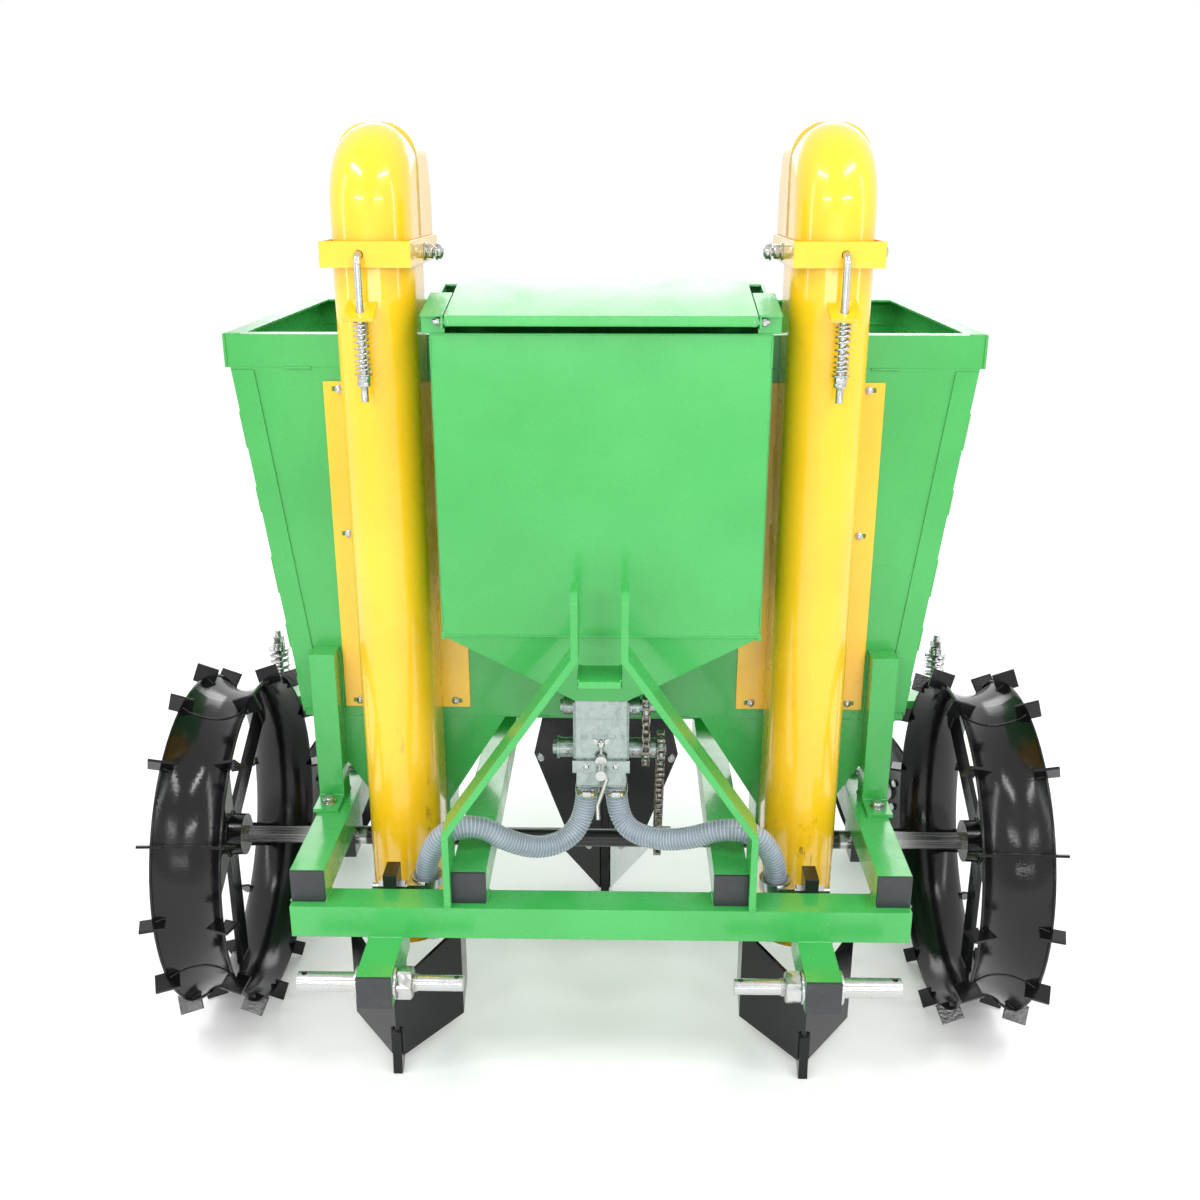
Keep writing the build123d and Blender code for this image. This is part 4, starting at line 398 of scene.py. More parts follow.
MATERIALS = {
    "green_paint": green_paint(),
    "yellow_paint": yellow_paint(),
    "black_paint": black_paint(),
    "zinc_plate": zinc_plate(),
    "galvanised_steel": galvanised_steel(),
    "chain_steel": chain_steel(),
    "cap_plastic": moulded_plastic("cap_plastic", (0.030, 0.033, 0.038)),
    "roller_plastic": moulded_plastic("roller_plastic", (0.09, 0.09, 0.10), 0.4),
    "belt_rubber": belt_rubber(),
    "hose_pvc": clear_pvc("hose_vinyl", (0.52, 0.60, 0.72), 0.5),
}
STRIPE = clear_pvc("hose_stripe", (0.06, 0.50, 0.56), 0.2)
RIB = clear_pvc("hose_rib", (0.72, 0.79, 0.88), 0.3)
BRASS = zinc_plate("brass", (0.62, 0.50, 0.24), 0.22, 0.38)
SEAM = moulded_plastic("cap_seam", (0.55, 0.40, 0.16), 0.45)
SHARES = share_steel_painted_shade()
AXLE = axle_steel()


def finish_cad_nodes():
    """Every CAD node takes the material of its slot in the record."""
    for part in frame["record"]["subparts"]:
        node = frame["nodes"].get(part["node"])
        if node is None:
            continue
        node.data.materials.clear()
        node.data.materials.append(MATERIALS[part["material_slot"]])
    frame["nodes"]["ridger_shares"].data.materials[0] = SHARES
    frame["nodes"]["drive_axle"].data.materials[0] = AXLE


# --- Mesh building ------------------------------------------------------------------------

def across(axis):
    """Two unit vectors square to an axis."""
    axis = axis.normalized()
    helper = Z if abs(axis.z) < 0.9 else Y
    first = helper.cross(axis).normalized()
    return first, axis.cross(first)


class Shape:
    """Faces of one piece, gathered in millimetres and then written as a mesh."""

    def __init__(self):
        self.mesh = bmesh.new()

    def ring(self, centre, u, v, radii):
        """Points round a centre, one for each radius."""
        count = len(radii)
        points = []
        for index, radius in enumerate(radii):
            angle = 2 * math.pi * index / count
            points.append(self.mesh.verts.new(centre + (u * math.cos(angle) + v * math.sin(angle)) * radius))
        return points

    def skin(self, rings, closed=False):
        """Quads between rings of equal count, with flat ends."""
        pairs = list(zip(rings, rings[1:])) + ([(rings[-1], rings[0])] if closed else [])
        for first, second in pairs:
            for index in range(len(first)):
                following = (index + 1) % len(first)
                self.mesh.faces.new((first[index], first[following], second[following], second[index]))
        if not closed:
            self.mesh.faces.new(rings[0][::-1])
            self.mesh.faces.new(rings[-1])

    def tube(self, points, radii, sides=10, closed=False):
        """A round bar along points, with one radius or one for each point."""
        points = [Vector(point) for point in points]
        if not isinstance(radii, (list, tuple)):
            radii = [radii] * len(points)
        u, v = across(points[1] - points[0])
        rings = []
        for index, point in enumerate(points):
            before = points[index - 1] if index or closed else point
            after = points[(index + 1) % len(points)] if index + 1 < len(points) or closed else point
            along = (after - before).normalized()
            u = (u - along * u.dot(along)).normalized()
            v = along.cross(u)
            rings.append(self.ring(point, u, v, [radii[index]] * sides))
        self.skin(rings, closed)

    def lathe(self, origin, axis, profile, sides=24):
        """A turned shape: a profile of (distance along the axis, radius)."""
        origin, axis = Vector(origin), Vector(axis).normalized()
        u, v = across(axis)
        self.skin([self.ring(origin + axis * along, u, v, [radius] * sides) for along, radius in profile])

    def hexagon(self, origin, axis, flats, height, turn=0.0):
        """A hexagonal head with chamfered corners at both ends."""
        origin, axis = Vector(origin), Vector(axis).normalized()
        u, v = across(axis)
        count = 24
        chamfer = flats * 0.07
        hexed = []
        for index in range(count):
            angle = (2 * math.pi * index / count + turn) % (math.pi / 3) - math.pi / 6
            hexed.append(flats / 2 / math.cos(angle))
        flat = [flats / 2 * 0.97] * count
        levels = ((0.0, flat), (chamfer * 0.6, hexed), (height - chamfer * 0.6, hexed), (height, flat))
        self.skin([self.ring(origin + axis * level, u, v, radii) for level, radii in levels])

    def washer(self, origin, axis, radius, thickness):
        """A flat washer with softened rims."""
        soft = min(0.4, thickness / 3)
        self.lathe(origin, axis, [(0, radius - soft), (soft, radius), (thickness - soft, radius),
                                  (thickness, radius - soft)])

    def thread(self, origin, axis, radius, length, pitch=1.5, sides=16):
        """A threaded bar as a stack of shallow ridges."""
        profile = [(0.0, radius * 0.86)]
        for index in range(int(length / pitch)):
            profile += [(pitch * (index + 0.25), radius * 0.9), (pitch * (index + 0.75), radius)]
        self.lathe(origin, axis, profile + [(length, radius * 0.86)], sides)

    def dome(self, origin, axis, radius, height, sides=24, steps=6):
        """A rounded head."""
        angles = [math.pi / 2 * step / steps for step in range(steps)]
        profile = [(height * math.sin(turn), radius * math.cos(turn)) for turn in angles]
        self.lathe(origin, axis, profile, sides)

    def plate(self, outline, along):
        """A flat outline pushed along a vector."""
        base = [self.mesh.verts.new(Vector(point)) for point in outline]
        top = [self.mesh.verts.new(Vector(point) + Vector(along)) for point in outline]
        self.skin([base, top])

    def block(self, x, y, z, soft):
        """A box between limits along each axis, with its edges rounded."""
        before = set(self.mesh.faces)
        corners = [(x[0], y[0], z[0]), (x[1], y[0], z[0]), (x[1], y[1], z[0]), (x[0], y[1], z[0])]
        self.plate(corners, (0, 0, z[1] - z[0]))
        fresh = [face for face in self.mesh.faces if face not in before]
        edges = list(dict.fromkeys(edge for face in fresh for edge in face.edges))
        bmesh.ops.bevel(self.mesh, geom=edges, offset=soft, segments=2, affect="EDGES", profile=0.6)

    def weld(self, start, end, radius=2.6, ripple=3.0):
        """A weld bead between two points, with its ripples."""
        start, end = Vector(start), Vector(end)
        run = (end - start).length
        count = max(4, int(run / ripple * 2))
        points, radii = [], []
        for index in range(count + 1):
            share = index / count
            wander = 0.25 * radius * math.sin(2.3 * index)
            swell = 0.82 + 0.18 * (index % 2) + 0.06 * math.sin(1.7 * index)
            points.append(start.lerp(end, share) + Z * wander * 0.4)
            radii.append(radius * swell * (0.55 if index in (0, count) else 1.0))
        self.tube(points, radii, 8)

    def finish(self, name, slot, body, replaces=(), material=None, smooth=40.0):
        """Writes the piece, gives it its material and lets it ride on its body."""
        for vertex in self.mesh.verts:
            vertex.co = to_row(vertex.co)
        bmesh.ops.recalc_face_normals(self.mesh, faces=self.mesh.faces)
        data = bpy.data.meshes.new(name)
        self.mesh.to_mesh(data)
        self.mesh.free()
        data.materials.append(material or MATERIALS[slot])
        piece = bpy.data.objects.new(name, data)
        bpy.context.scene.collection.objects.link(piece)
        data.shade_smooth()
        data.set_sharp_from_angle(angle=math.radians(smooth))
        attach(piece, body)
        if replaces:
            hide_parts(*replaces)
        return piece


# --- Fertiliser hoses ---------------------------------------------------------------------

HOSE_RADIUS = 16.2
HOSE_BORE = 13.0
HOSE_RIB = 0.8
RIB_PITCH = 5.0
RIB_STEPS = 5
HOSE_SIDES = 28
LEFT_HOSE_ROUTE = [
    (-22, -98, 445), (-22, -98, 388), (-46, -118, 347), (-92, -142, 340),
    (-142, -165, 367), (-181, -176, 400), (-232, -181, 394), (-262, -174, 345),
    (-265, -169, 296), (-264, -160, 244), (-260, -150, 196)]
RIGHT_HOSE_ROUTE = [
    (22, -98, 445), (22, -98, 392), (42, -119, 360), (88, -144, 359),
    (136, -164, 374), (180, -176, 398), (231, -181, 394), (262, -174, 347),
    (265, -169, 297), (263, -160, 245), (258, -151, 198)]


def spline_points(route, step):
    """Evenly spaced points, in millimetres, on the smooth line of a route."""
    data = bpy.data.curves.new("route", "CURVE")
    data.dimensions = "3D"
    data.resolution_u = 48
    spline = data.splines.new("NURBS")
    spline.points.add(len(route) - 1)
    for point, place in zip(spline.points, route):
        point.co = (*place, 1.0)
    spline.order_u = 3
    spline.use_endpoint_u = True
    curve = bpy.data.objects.new("route", data)
    line = bpy.data.meshes.new_from_object(curve)
    dense = [vertex.co.copy() for vertex in line.vertices]
    bpy.data.objects.remove(curve)
    points, spare = [dense[0]], 0.0
    for first, second in zip(dense, dense[1:]):
        run = (second - first).length
        place = step - spare
        while place <= run:
            points.append(first.lerp(second, place / run))
            place += step
        spare = (spare + run) % step
    return points


def make_hose(name, route, stripe_side):
    """A ribbed clear hose with a coloured stripe along it."""
    points = spline_points(route, RIB_PITCH / RIB_STEPS)
    shape = Shape()
    u, v = across(points[1] - points[0])
    outer, inner = [], []
    for index, point in enumerate(points):
        along = (points[min(index + 1, len(points) - 1)] - points[max(index - 1, 0)]).normalized()
        u = (u - along * u.dot(along)).normalized()
        v = along.cross(u)
        swell = HOSE_RIB * (0.5 - 0.5 * math.cos(index * 2 * math.pi / RIB_STEPS))
        outer.append(shape.ring(point, u, v, [HOSE_RADIUS + swell] * HOSE_SIDES))
        inner.append(shape.ring(point, u, v, [HOSE_BORE] * HOSE_SIDES))
    shape.skin(outer + inner[::-1], closed=True)
    shape.mesh.faces.ensure_lookup_table()
    for row in range(len(points) - 1):
        for corner in range(HOSE_SIDES if row % RIB_STEPS == RIB_STEPS // 2 else 0):
            shape.mesh.faces[row * HOSE_SIDES + corner].material_index = 2
        for offset in (0, 1):
            shape.mesh.faces[row * HOSE_SIDES + stripe_side + offset].material_index = 1
    hose = shape.finish(name + "_tube", "hose_pvc", "frame", [name])
    hose.data.materials.append(STRIPE)
    hose.data.materials.append(RIB)


# --- Springs and chains -------------------------------------------------------------------

COIL_STEPS = 20


def helix(centre, low, high, radius, turns):
    """Points of a coil spring, with its end turns closed up."""
    points = []
    count = int(turns * COIL_STEPS)
    for index in range(count + 1):
        turn = index / COIL_STEPS
        share = index / count
        eased = share - 0.045 * math.sin(2 * math.pi * share)
        points.append((centre[0] + radius * math.cos(2 * math.pi * turn),
                       centre[1] + radius * math.sin(2 * math.pi * turn), low + (high - low) * eased))
    return points


def make_hook_springs():
    """The springs under the duct brackets."""
    shape = Shape()
    for side in SIDES:
        shape.tube(helix((side * HOOK_X, HOOK_Y), 1065.0, 1131.0, 9.3, 9.5), 1.6, 10)
    shape.finish("hook_spring_coils", "zinc_plate", "frame", ["hook_springs"], smooth=80)


def make_disc_springs():
    """The springs on the toolbar, each with a mesh of its own."""
    for word, side in NAMED_SIDES:
        shape = Shape()
        shape.tube(helix((side * DISC_SPRING_X, DISC_SPRING_Y), TOOLBAR_TOP + 3.0, 484.0, 16.0, 6.5), 2.7, 12)
        spring = shape.finish(word + "_disc_spring_coil", "zinc_plate", "frame", [word + "_disc_spring"],
                              smooth=80)
        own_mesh(spring)


CHAIN_PITCH = 12.7
SPROCKET_TEETH = 12
SPROCKET_RADIUS = CHAIN_PITCH / 2 / math.sin(math.pi / SPROCKET_TEETH)


def loop_point(first, last, travel):
    """A point and its direction on the loop round two equal sprockets, each (Y, Z)."""
    first, last = Vector((0, *first)), Vector((0, *last))
    run = (last - first).length
    along = (last - first) / run
    out = Vector((0, along.z, -along.y))
    bend = math.pi * SPROCKET_RADIUS
    travel %= 2 * (run + bend)
    returning = travel >= run + bend
    if returning:
        travel -= run + bend
        first, last, along, out = last, first, -along, -out
    if travel < run:
        return first + out * SPROCKET_RADIUS + along * travel
    angle = (travel - run) / SPROCKET_RADIUS
    return last + (out * math.cos(angle) + along * math.sin(angle)) * SPROCKET_RADIUS


def make_chain(shape, x, first, last):
    """Rollers, pins and alternate inner and outer plates round two sprockets."""
    run = (Vector(last) - Vector(first)).length
    whole = 2 * run + 2 * math.pi * SPROCKET_RADIUS
    links = round(whole / CHAIN_PITCH / 2) * 2
    centres = [loop_point(first, last, whole * (index + 0.5) / links) + X * x for index in range(links)]
    for index, centre in enumerate(centres):
        after = centres[(index + 1) % links]
        shape.lathe(centre - X * 3.0, X, [(0, 3.6), (0.4, 4.0), (5.6, 4.0), (6.0, 3.6)], 14)
        shape.lathe(centre - X * 6.2, X, [(0, 1.5), (0.4, 1.9), (12.0, 1.9), (12.4, 1.5)], 10)
        along = (after - centre).normalized()
        square = X.cross(along)
        near = 3.2 if index % 2 else 4.6
        outline = []
        for step in range(20):
            angle = 2 * math.pi * step / 20
            base = after if math.cos(angle) > 0 else centre
            waist = 0.72 if abs(math.cos(angle)) < 0.2 else 1.0
            outline.append(base + (along * math.cos(angle) + square * math.sin(angle) * waist) * 4.6)
        for face in SIDES:
            shape.plate([point + X * face * near for point in outline], X * face * 1.3)


def make_chains():
    shape = Shape()
    make_chain(shape, 90.0, (0.0, AXLE_Z), (METER_Y, METER_SHAFT_Z))
    make_chain(shape, 67.0, (METER_Y, METER_SHAFT_Z), (METER_Y, AGITATOR_Z))
    shape.finish("chain_links", "chain_steel", "frame", ["roller_chains"])


# --- Fasteners ----------------------------------------------------------------------------

def make_duct_bolts():
    """Button-headed bolts on washers in the duct flanges' slots."""
    shape = Shape()
    for side in SIDES:
        for edge in SIDES:
            for height in (521.0, 798.0, 1019.0):
                seat = (side * ROW_X + edge * 76.5, 9.0, height)
                shape.washer(seat, -Y, 6.2, 1.2)
                shape.hexagon(Vector(seat) - Y * 1.2, -Y, 10.0, 3.2, turn=height)
                shape.lathe(Vector(seat) - Y * 4.4, -Y, [(0, 3.2), (1.4, 3.0), (1.8, 2.4)], 14)
                shape.lathe(seat, Y, [(0, 3.0), (15.0, 3.0), (16.0, 2.4)], 14)
    shape.finish("duct_flange_bolts", "zinc_plate", "frame", ["duct_bolts"])


def make_hex_nuts():
    """The link pins' washers and nuts, and the nuts under the hook springs."""
    shape = Shape()
    for side in SIDES:
        arm = side * (ROW_X - 25.0)
        shape.washer((arm, LINK_PIN_Y, LINK_PIN_Z), -X * side, 23.0, 4.0)
        shape.hexagon((arm - side * 4.0, LINK_PIN_Y, LINK_PIN_Z), -X * side, 41.0, 22.0, turn=0.3)
        shape.thread((arm - side * 26.0, LINK_PIN_Y, LINK_PIN_Z), -X * side, 13.0, 6.0, 2.0)
        hook = (side * HOOK_X, HOOK_Y)
        shape.washer((*hook, 1060.5), Z, 12.0, 2.5)
        shape.hexagon((*hook, 1052.0), Z, 17.0, 8.5, turn=0.2)
        shape.hexagon((*hook, 1046.0), Z, 17.0, 6.0, turn=0.7)
        shape.thread((*hook, 1025.5), Z, 5.35, 20.0)
    shape.finish("washers_and_nuts", "zinc_plate", "frame", ["hex_nuts"])


def make_roller_bolts():
    """The top rollers' bolts with a washer, a nut and a domed lock nut at each side."""
    shape = Shape()
    for side in SIDES:
        middle = Vector((side * ROW_X, 0.0, 1215.0))
        shape.lathe(middle - X * 80.0, X, [(0, 5.6), (1, 6.0), (159.0, 6.0), (160.0, 5.6)], 20)
        for edge in SIDES:
            out = X * edge
            seat = middle + out * 60.5
            shape.washer(seat, out, 12.0, 2.5)
            shape.hexagon(seat + out * 2.5, out, 19.0, 10.0, turn=0.1)
            shape.thread(seat + out * 12.5, out, 6.1, 3.5)
            shape.washer(seat + out * 16.0, out, 12.0, 2.5)
            shape.hexagon(seat + out * 18.5, out, 19.0, 5.5, turn=0.4)
            shape.dome(seat + out * 23.5, out, 8.4, 3.6)
    shape.finish("roller_bolt_sets", "zinc_plate", "frame", ["roller_bolts"])


def make_frame_bolts():
    """Hexagon bolts through the post feet and above the axle bearings."""
    shape = Shape()
    for side in SIDES:
        for x, y, seat in ((POST_X, -51.5, 369.0), (RAIL_CENTRES[0], 81.0, RAIL_TOP)):
            place = Vector((side * x, y, seat))
            shape.washer(place, Z, 12.0, 2.4)
            shape.hexagon(place + Z * 2.4, Z, 19.0, 7.6, turn=x)
            shape.dome(place + Z * 9.8, Z, 8.8, 1.1)
            shape.lathe(place, -Z, [(0, 6.0), (24.0, 6.0), (25.0, 5.2)], 16)
    shape.finish("frame_bolt_heads", "zinc_plate", "frame", ["frame_bolts"])


def make_end_caps():
    """Moulded end caps with rounded corners and a raised face."""
    shape = Shape()
    for side in SIDES:
        for centre in RAIL_CENTRES:
            x = (side * centre - 25.0, side * centre + 25.0)
            shape.block(x, (-251.0, -246.0), (BEAM_TOP, RAIL_TOP), 1.6)
            shape.block(x, (TOOLBAR_REAR, TOOLBAR_REAR + 5.0), (BEAM_TOP, RAIL_TOP), 1.6)
        x = (side * ROW_X - 25.0, side * ROW_X + 25.0)
        shape.block(x, (-363.0, -358.0), (213.0, BEAM_BOTTOM), 1.6)
        end = sorted((side * 640.0, side * 645.0))
        shape.block(end, (TOOLBAR_FRONT, TOOLBAR_REAR), (RAIL_TOP, TOOLBAR_TOP), 1.6)
    shape.finish("tube_plugs", "cap_plastic", "frame", ["tube_end_caps"])


# --- Hose clamps, gate screw and metering unit --------------------------------------------

def make_hose_clamps():
    """Worm-drive clamps: a slotted band, the screw's housing and its slotted brass head."""
    band, screws = Shape(), Shape()
    for side in SIDES:
        centre = Vector((side * 22.0, METER_Y, OUTLET_BOTTOM - 22.0))
        outer = HOSE_RADIUS + HOSE_RIB + 1.5
        loop = [(-5.5, outer - 1.2), (-6.0, outer - 0.3), (-5.4, outer), (5.4, outer), (6.0, outer - 0.3),
                (5.5, outer - 1.2)]
        u, v = X, Y
        rings = [band.ring(centre + Z * level, u, v, [radius] * 40) for level, radius in loop]
        band.skin(rings, closed=True)
        for step in range(10):
            angle = math.radians(200 + 14 * step)
            out = X * math.cos(angle) + Y * math.sin(angle)
            along = Z.cross(out)
            base = centre + out * (outer + 0.1)
            slot = ((-0.7, -3.6), (0.7, -3.0), (0.7, 3.6), (-0.7, 3.0))
            band.plate([base + along * shift + Z * rise for shift, rise in slot], out * 0.25)
        front = centre - Y * (outer + 4.0)
        band.block((front.x - 7.0, front.x + 7.0), (front.y - 3.6, front.y + 4.2),
                   (centre.z - 5.5, centre.z + 5.5), 1.2)
        screws.hexagon(front + X * 7.0, X, 7.0, 3.4)
        screws.lathe(front + X * 10.3, X, [(0, 3.4), (0.8, 3.0)], 16)
        screws.lathe(front - X * 7.0, -X, [(0, 2.4), (3.4, 2.4), (4.0, 1.8)], 12)
    band.finish("clamp_bands", "zinc_plate", "frame", ["hose_clamps"])
    screws.finish("clamp_screws", "zinc_plate", "frame", material=BRASS)


def make_gate_screw():
    """The gate's upright screw with a wing nut and a locking collar."""
    shape = Shape()
    y = METER_FRONT - 5.0
    nut = METER_BOTTOM + 44.0
    shape.thread((0, y, METER_BOTTOM + 20.0), Z, 2.6, 34.0, 1.2, 12)
    shape.lathe((0, y, nut), Z, [(0, 5.2), (0.6, 6.0), (6.0, 5.6), (7.0, 4.6)], 20)
    for edge in SIDES:
        outline = ((4.0, 2.0), (9.5, 4.0), (12.5, 9.5), (10.5, 12.5), (6.5, 10.5), (3.6, 6.5))
        wing = [(edge * x, y - 1.2, nut + z) for x, z in outline]
        shape.plate(wing, (0, 2.4, 0))
    shape.lathe((0, METER_FRONT, nut + 7.0), -Y, [(0, 7.0), (2.6, 7.0), (3.0, 6.4)], 20)
    shape.finish("gate_wing_screw", "zinc_plate", "frame", ["gate_screw"])


def make_meter_details():
    """The housing's folded cover, its cheeks, its screwed strip and the round knob on it."""
    sheet, screws = Shape(), Shape()
    front = METER_FRONT
    strip = METER_BOTTOM + 10.0
    folds = ((METER_TOP - 1.0, 0.6), (METER_TOP - 28.0, 3.4), (METER_TOP - 54.0, 2.6),
             (METER_TOP - 60.0, 5.4))
    for (high, near), (low, far) in zip(folds, folds[1:]):
        sheet.plate([(-38.0, front - near, high), (38.0, front - near, high), (38.0, front - far, low),
                     (-38.0, front - far, low)], (0, 1.2, 0))
    for edge in SIDES:
        cheek = sorted((edge * 39.0, edge * 41.5))
        sheet.block(cheek, (front - 3.0, front + 26.0), (METER_BOTTOM + 22.0, METER_TOP - 2.0), 0.6)
        sheet.block(sorted((edge * 37.0, edge * 43.0)), (front - 4.6, front - 1.0),
                    (METER_BOTTOM - 1.0, METER_BOTTOM + 20.0), 0.6)
        x = edge * 39.5
        sheet.weld((x, front - 3.0, METER_TOP - 2.0), (x, front - 3.0, METER_BOTTOM + 24.0), 1.0, 4.0)
        screws.washer((edge * 22.0, front - 5.6, strip), -Y, 6.0, 1.0)
        screws.dome((edge * 22.0, front - 6.6, strip), -Y, 4.6, 2.6)
    sheet.block((-43.0, 43.0), (front - 5.6, front - 3.9), (METER_BOTTOM + 0.5, METER_BOTTOM + 19.5), 0.5)
    sheet.weld((-36.0, front + 1.0, OUTLET_BOTTOM + 0.5), (36.0, front + 1.0, OUTLET_BOTTOM + 0.5), 1.3, 3.0)
    sheet.finish("meter_cover_plates", "galvanised_steel", "frame")
    screws.lathe((0.0, front - 5.6, METER_BOTTOM + 22.0), -Y, [(0, 9.4), (7.0, 9.4), (8.0, 8.6)], 28)
    screws.finish("meter_screws", "zinc_plate", "frame")


def make_set_screws():
    """Socket set screws in the collars of the metering and agitator shafts."""
    for word, body, height, places, radius in (
            ("metering", "metering_rotor", METER_SHAFT_Z, (-52.0, 48.0, 56.0, 79.0), 15.0),
            ("agitator", "agitator", AGITATOR_Z, (-50.0, 49.0), 14.0)):
        shape = Shape()
        for x in places:
            seat = Vector((x, METER_Y, height)) - Y * (radius - 0.6) - Z * 2.0
            shape.lathe(seat, -Y, [(0, 3.2), (0.9, 3.2), (0.9, 1.7), (0.2, 1.5)], 16)
        shape.finish(word + "_set_screws", "chain_steel", body)


# --- Welds --------------------------------------------------------------------------------

def make_green_welds():
    """Beads where the frame's tubes and plates are welded together."""
    shape = Shape()
    for side in SIDES:
        for centre in RAIL_CENTRES:
            for edge in SIDES:
                x = side * centre + edge * 25.0
                shape.weld((x, BEAM_FRONT + 14, BEAM_TOP + 0.5), (x, BEAM_REAR, BEAM_TOP + 0.5))
                shape.weld((x, TOOLBAR_FRONT, RAIL_TOP + 0.5), (x, TOOLBAR_REAR, RAIL_TOP + 0.5), 2.4)
        for edge in SIDES:
            x = side * ROW_X + edge * 25.0
            shape.weld((x, BEAM_FRONT, BEAM_BOTTOM - 0.5), (x, BEAM_REAR, BEAM_BOTTOM - 0.5))
        x = side * ROW_X
        shape.weld((x - 24, BEAM_FRONT, BEAM_BOTTOM - 0.5), (x + 24, BEAM_FRONT, BEAM_BOTTOM - 0.5))
        for y in (BEAM_FRONT, BEAM_FRONT + 60.0):
            shape.weld((side * 216.0, y, BEAM_TOP + 1), (side * 225.0, y, BEAM_TOP + 1), 2.4)
        shape.weld((side * 225.5, BEAM_FRONT + 2, BEAM_TOP + 1), (side * 225.5, BEAM_REAR, BEAM_TOP + 1), 2.6)
        for height in (669.5, 658.5):
            shape.weld((side * 28.5, BEAM_FRONT + 1, height), (side * 28.5, BEAM_FRONT + 59, height), 2.2)
        post = side * POST_X
        for edge in SIDES:
            x = post + edge * 20.0
            shape.weld((x, -28.0, 363.8), (x, 12.0, 363.8), 2.4)
            shape.weld((x, 11.0, 500.0), (x, 11.0, 532.0), 2.2)
            shape.weld((x, 11.0, 575.0), (x, 11.0, 606.0), 2.2)
        shape.weld((post - 20, -28.5, 369.6), (post + 20, -28.5, 369.6), 2.4)
        for x in (588.0, 594.0, 626.0, 632.0):
            shape.weld((side * x, TOOLBAR_REAR + 0.5, 366.0), (side * x, TOOLBAR_REAR + 0.5, 398.0), 2.0)
    shape.finish("frame_welds", "green_paint", "frame", smooth=80)


def hopper_edge(side, height, inset=0.0):
    """A point on the potato hopper's front upright edge."""
    share = (height - 492.0) / (1050.0 - 492.0)
    return Vector((side * (480.0 + share * 68.0 - inset), 11.4, height))


def make_hopper_seams():
    """The potato hopper's corner beads, its lapped side strips and its row of tack welds."""
    shape = Shape()
    for side in SIDES:
        for low, high in ((500.0, 560.0), (610.0, 650.0), (700.0, 760.0), (830.0, 870.0), (930.0, 985.0)):
            shape.weld(hopper_edge(side, low), hopper_edge(side, high), 1.9)
        for height in range(540, 1030, 70):
            place = hopper_edge(side, height, 31.0)
            shape.dome(place, -Y, 4.2, 1.6, 14, 4)
            shape.dome(hopper_edge(side, height + 9, 12.0), -Y, 2.6, 1.2, 12, 4)
        lap = [hopper_edge(side, 505.0, 34.0), hopper_edge(side, 505.0, 0.6), hopper_edge(side, 1046.0, 0.6),
               hopper_edge(side, 1046.0, 34.0)]
        shape.plate(lap if side > 0 else lap[::-1], (0, -1.4, 0))
        rim = side * 553.0
        shape.weld((rim, 11.6, 1051.0), (rim, 11.6, 1097.0), 1.6)
        shape.weld((side * 529.0, 13.0, 1098.2), (side * 555.0, 13.0, 1098.2), 1.6)
        for y in (60.0, 190.0, 320.0, 450.0):
            shape.weld((side * 549.5, y, 1049.0), (side * 549.5, y + 45.0, 1049.0), 2.0)
    for x in (-470.0, -330.0, -150.0, 40.0, 210.0, 390.0):
        shape.weld((x, 11.4, 1049.0), (x + 42.0, 11.4, 1049.0), 1.8)
    for x in (-390.0, -130.0, 95.0, 350.0):
        shape.weld((x, 12.0, 493.0), (x + 45.0, 12.0, 493.0), 1.8)
    shape.finish("hopper_seams", "green_paint", "frame", smooth=80)


def make_fertiliser_details():
    """The fertiliser hopper's side returns, its folded lower edge and its corner tabs."""
    shape = Shape()
    for side in SIDES:
        x = side * FERT_HALF
        shape.block(sorted((x, x + side * 1.6)), (-158.0, -132.0), (700.0, 1118.0), 0.4)
        shape.weld((x, -160.0, 712.0), (x, -160.0, 742.0), 1.5)
        shape.weld((x, -160.0, 1075.0), (x, -160.0, 1112.0), 1.5)
        inner, outer = x - side * 4, x + side * 2.5
        shape.plate([(inner, -160.6, 690.0), (outer, -160.6, 690.0), (outer, -160.6, 700.0),
                     (inner, -160.6, 704.0)], (0, 1.4, 0))
        for height in (760.0, 880.0, 1000.0, 1090.0):
            shape.dome((side * 225.3, -60.0, height), X * side, 3.2, 1.4, 14, 4)
    shape.tube([(-224.0, -160.2, 695.5), (224.0, -160.2, 695.5)], 1.5, 10)
    shape.tube([(-224.0, -159.6, 1118.4), (224.0, -159.6, 1118.4)], 1.6, 10)
    shape.finish("fertiliser_hopper_edges", "green_paint", "frame", smooth=60)


def make_lid_details():
    """The lid's folded lips, and the washers and nuts on its hinge rod."""
    shape, pins = Shape(), Shape()
    for side in SIDES:
        x = side * 203.4
        shape.plate([(x, -171.5, 1130.9), (x, -171.5, 1143.2), (x, 5.0, 1178.0), (x, 5.0, 1176.3),
                     (x, -160.0, 1144.0), (x, -163.0, 1130.9)], (-side * 1.4, 0, 0))
        pins.washer((side * 200.0, LID_HINGE_Y, LID_HINGE_Z), -X * side, 7.5, 1.4)
        pins.hexagon((side * 209.8, LID_HINGE_Y, LID_HINGE_Z), X * side, 10.5, 5.6, turn=0.2)
        pins.thread((side * 215.4, LID_HINGE_Y, LID_HINGE_Z), X * side, 3.6, 4.0, 1.2, 12)
    shape.tube([(-203.0, -171.4, 1131.0), (203.0, -171.4, 1131.0)], 1.3, 10)
    shape.finish("lid_lips", "green_paint", "lid", smooth=60)
    pins.finish("lid_rod_fasteners", "zinc_plate", "lid")


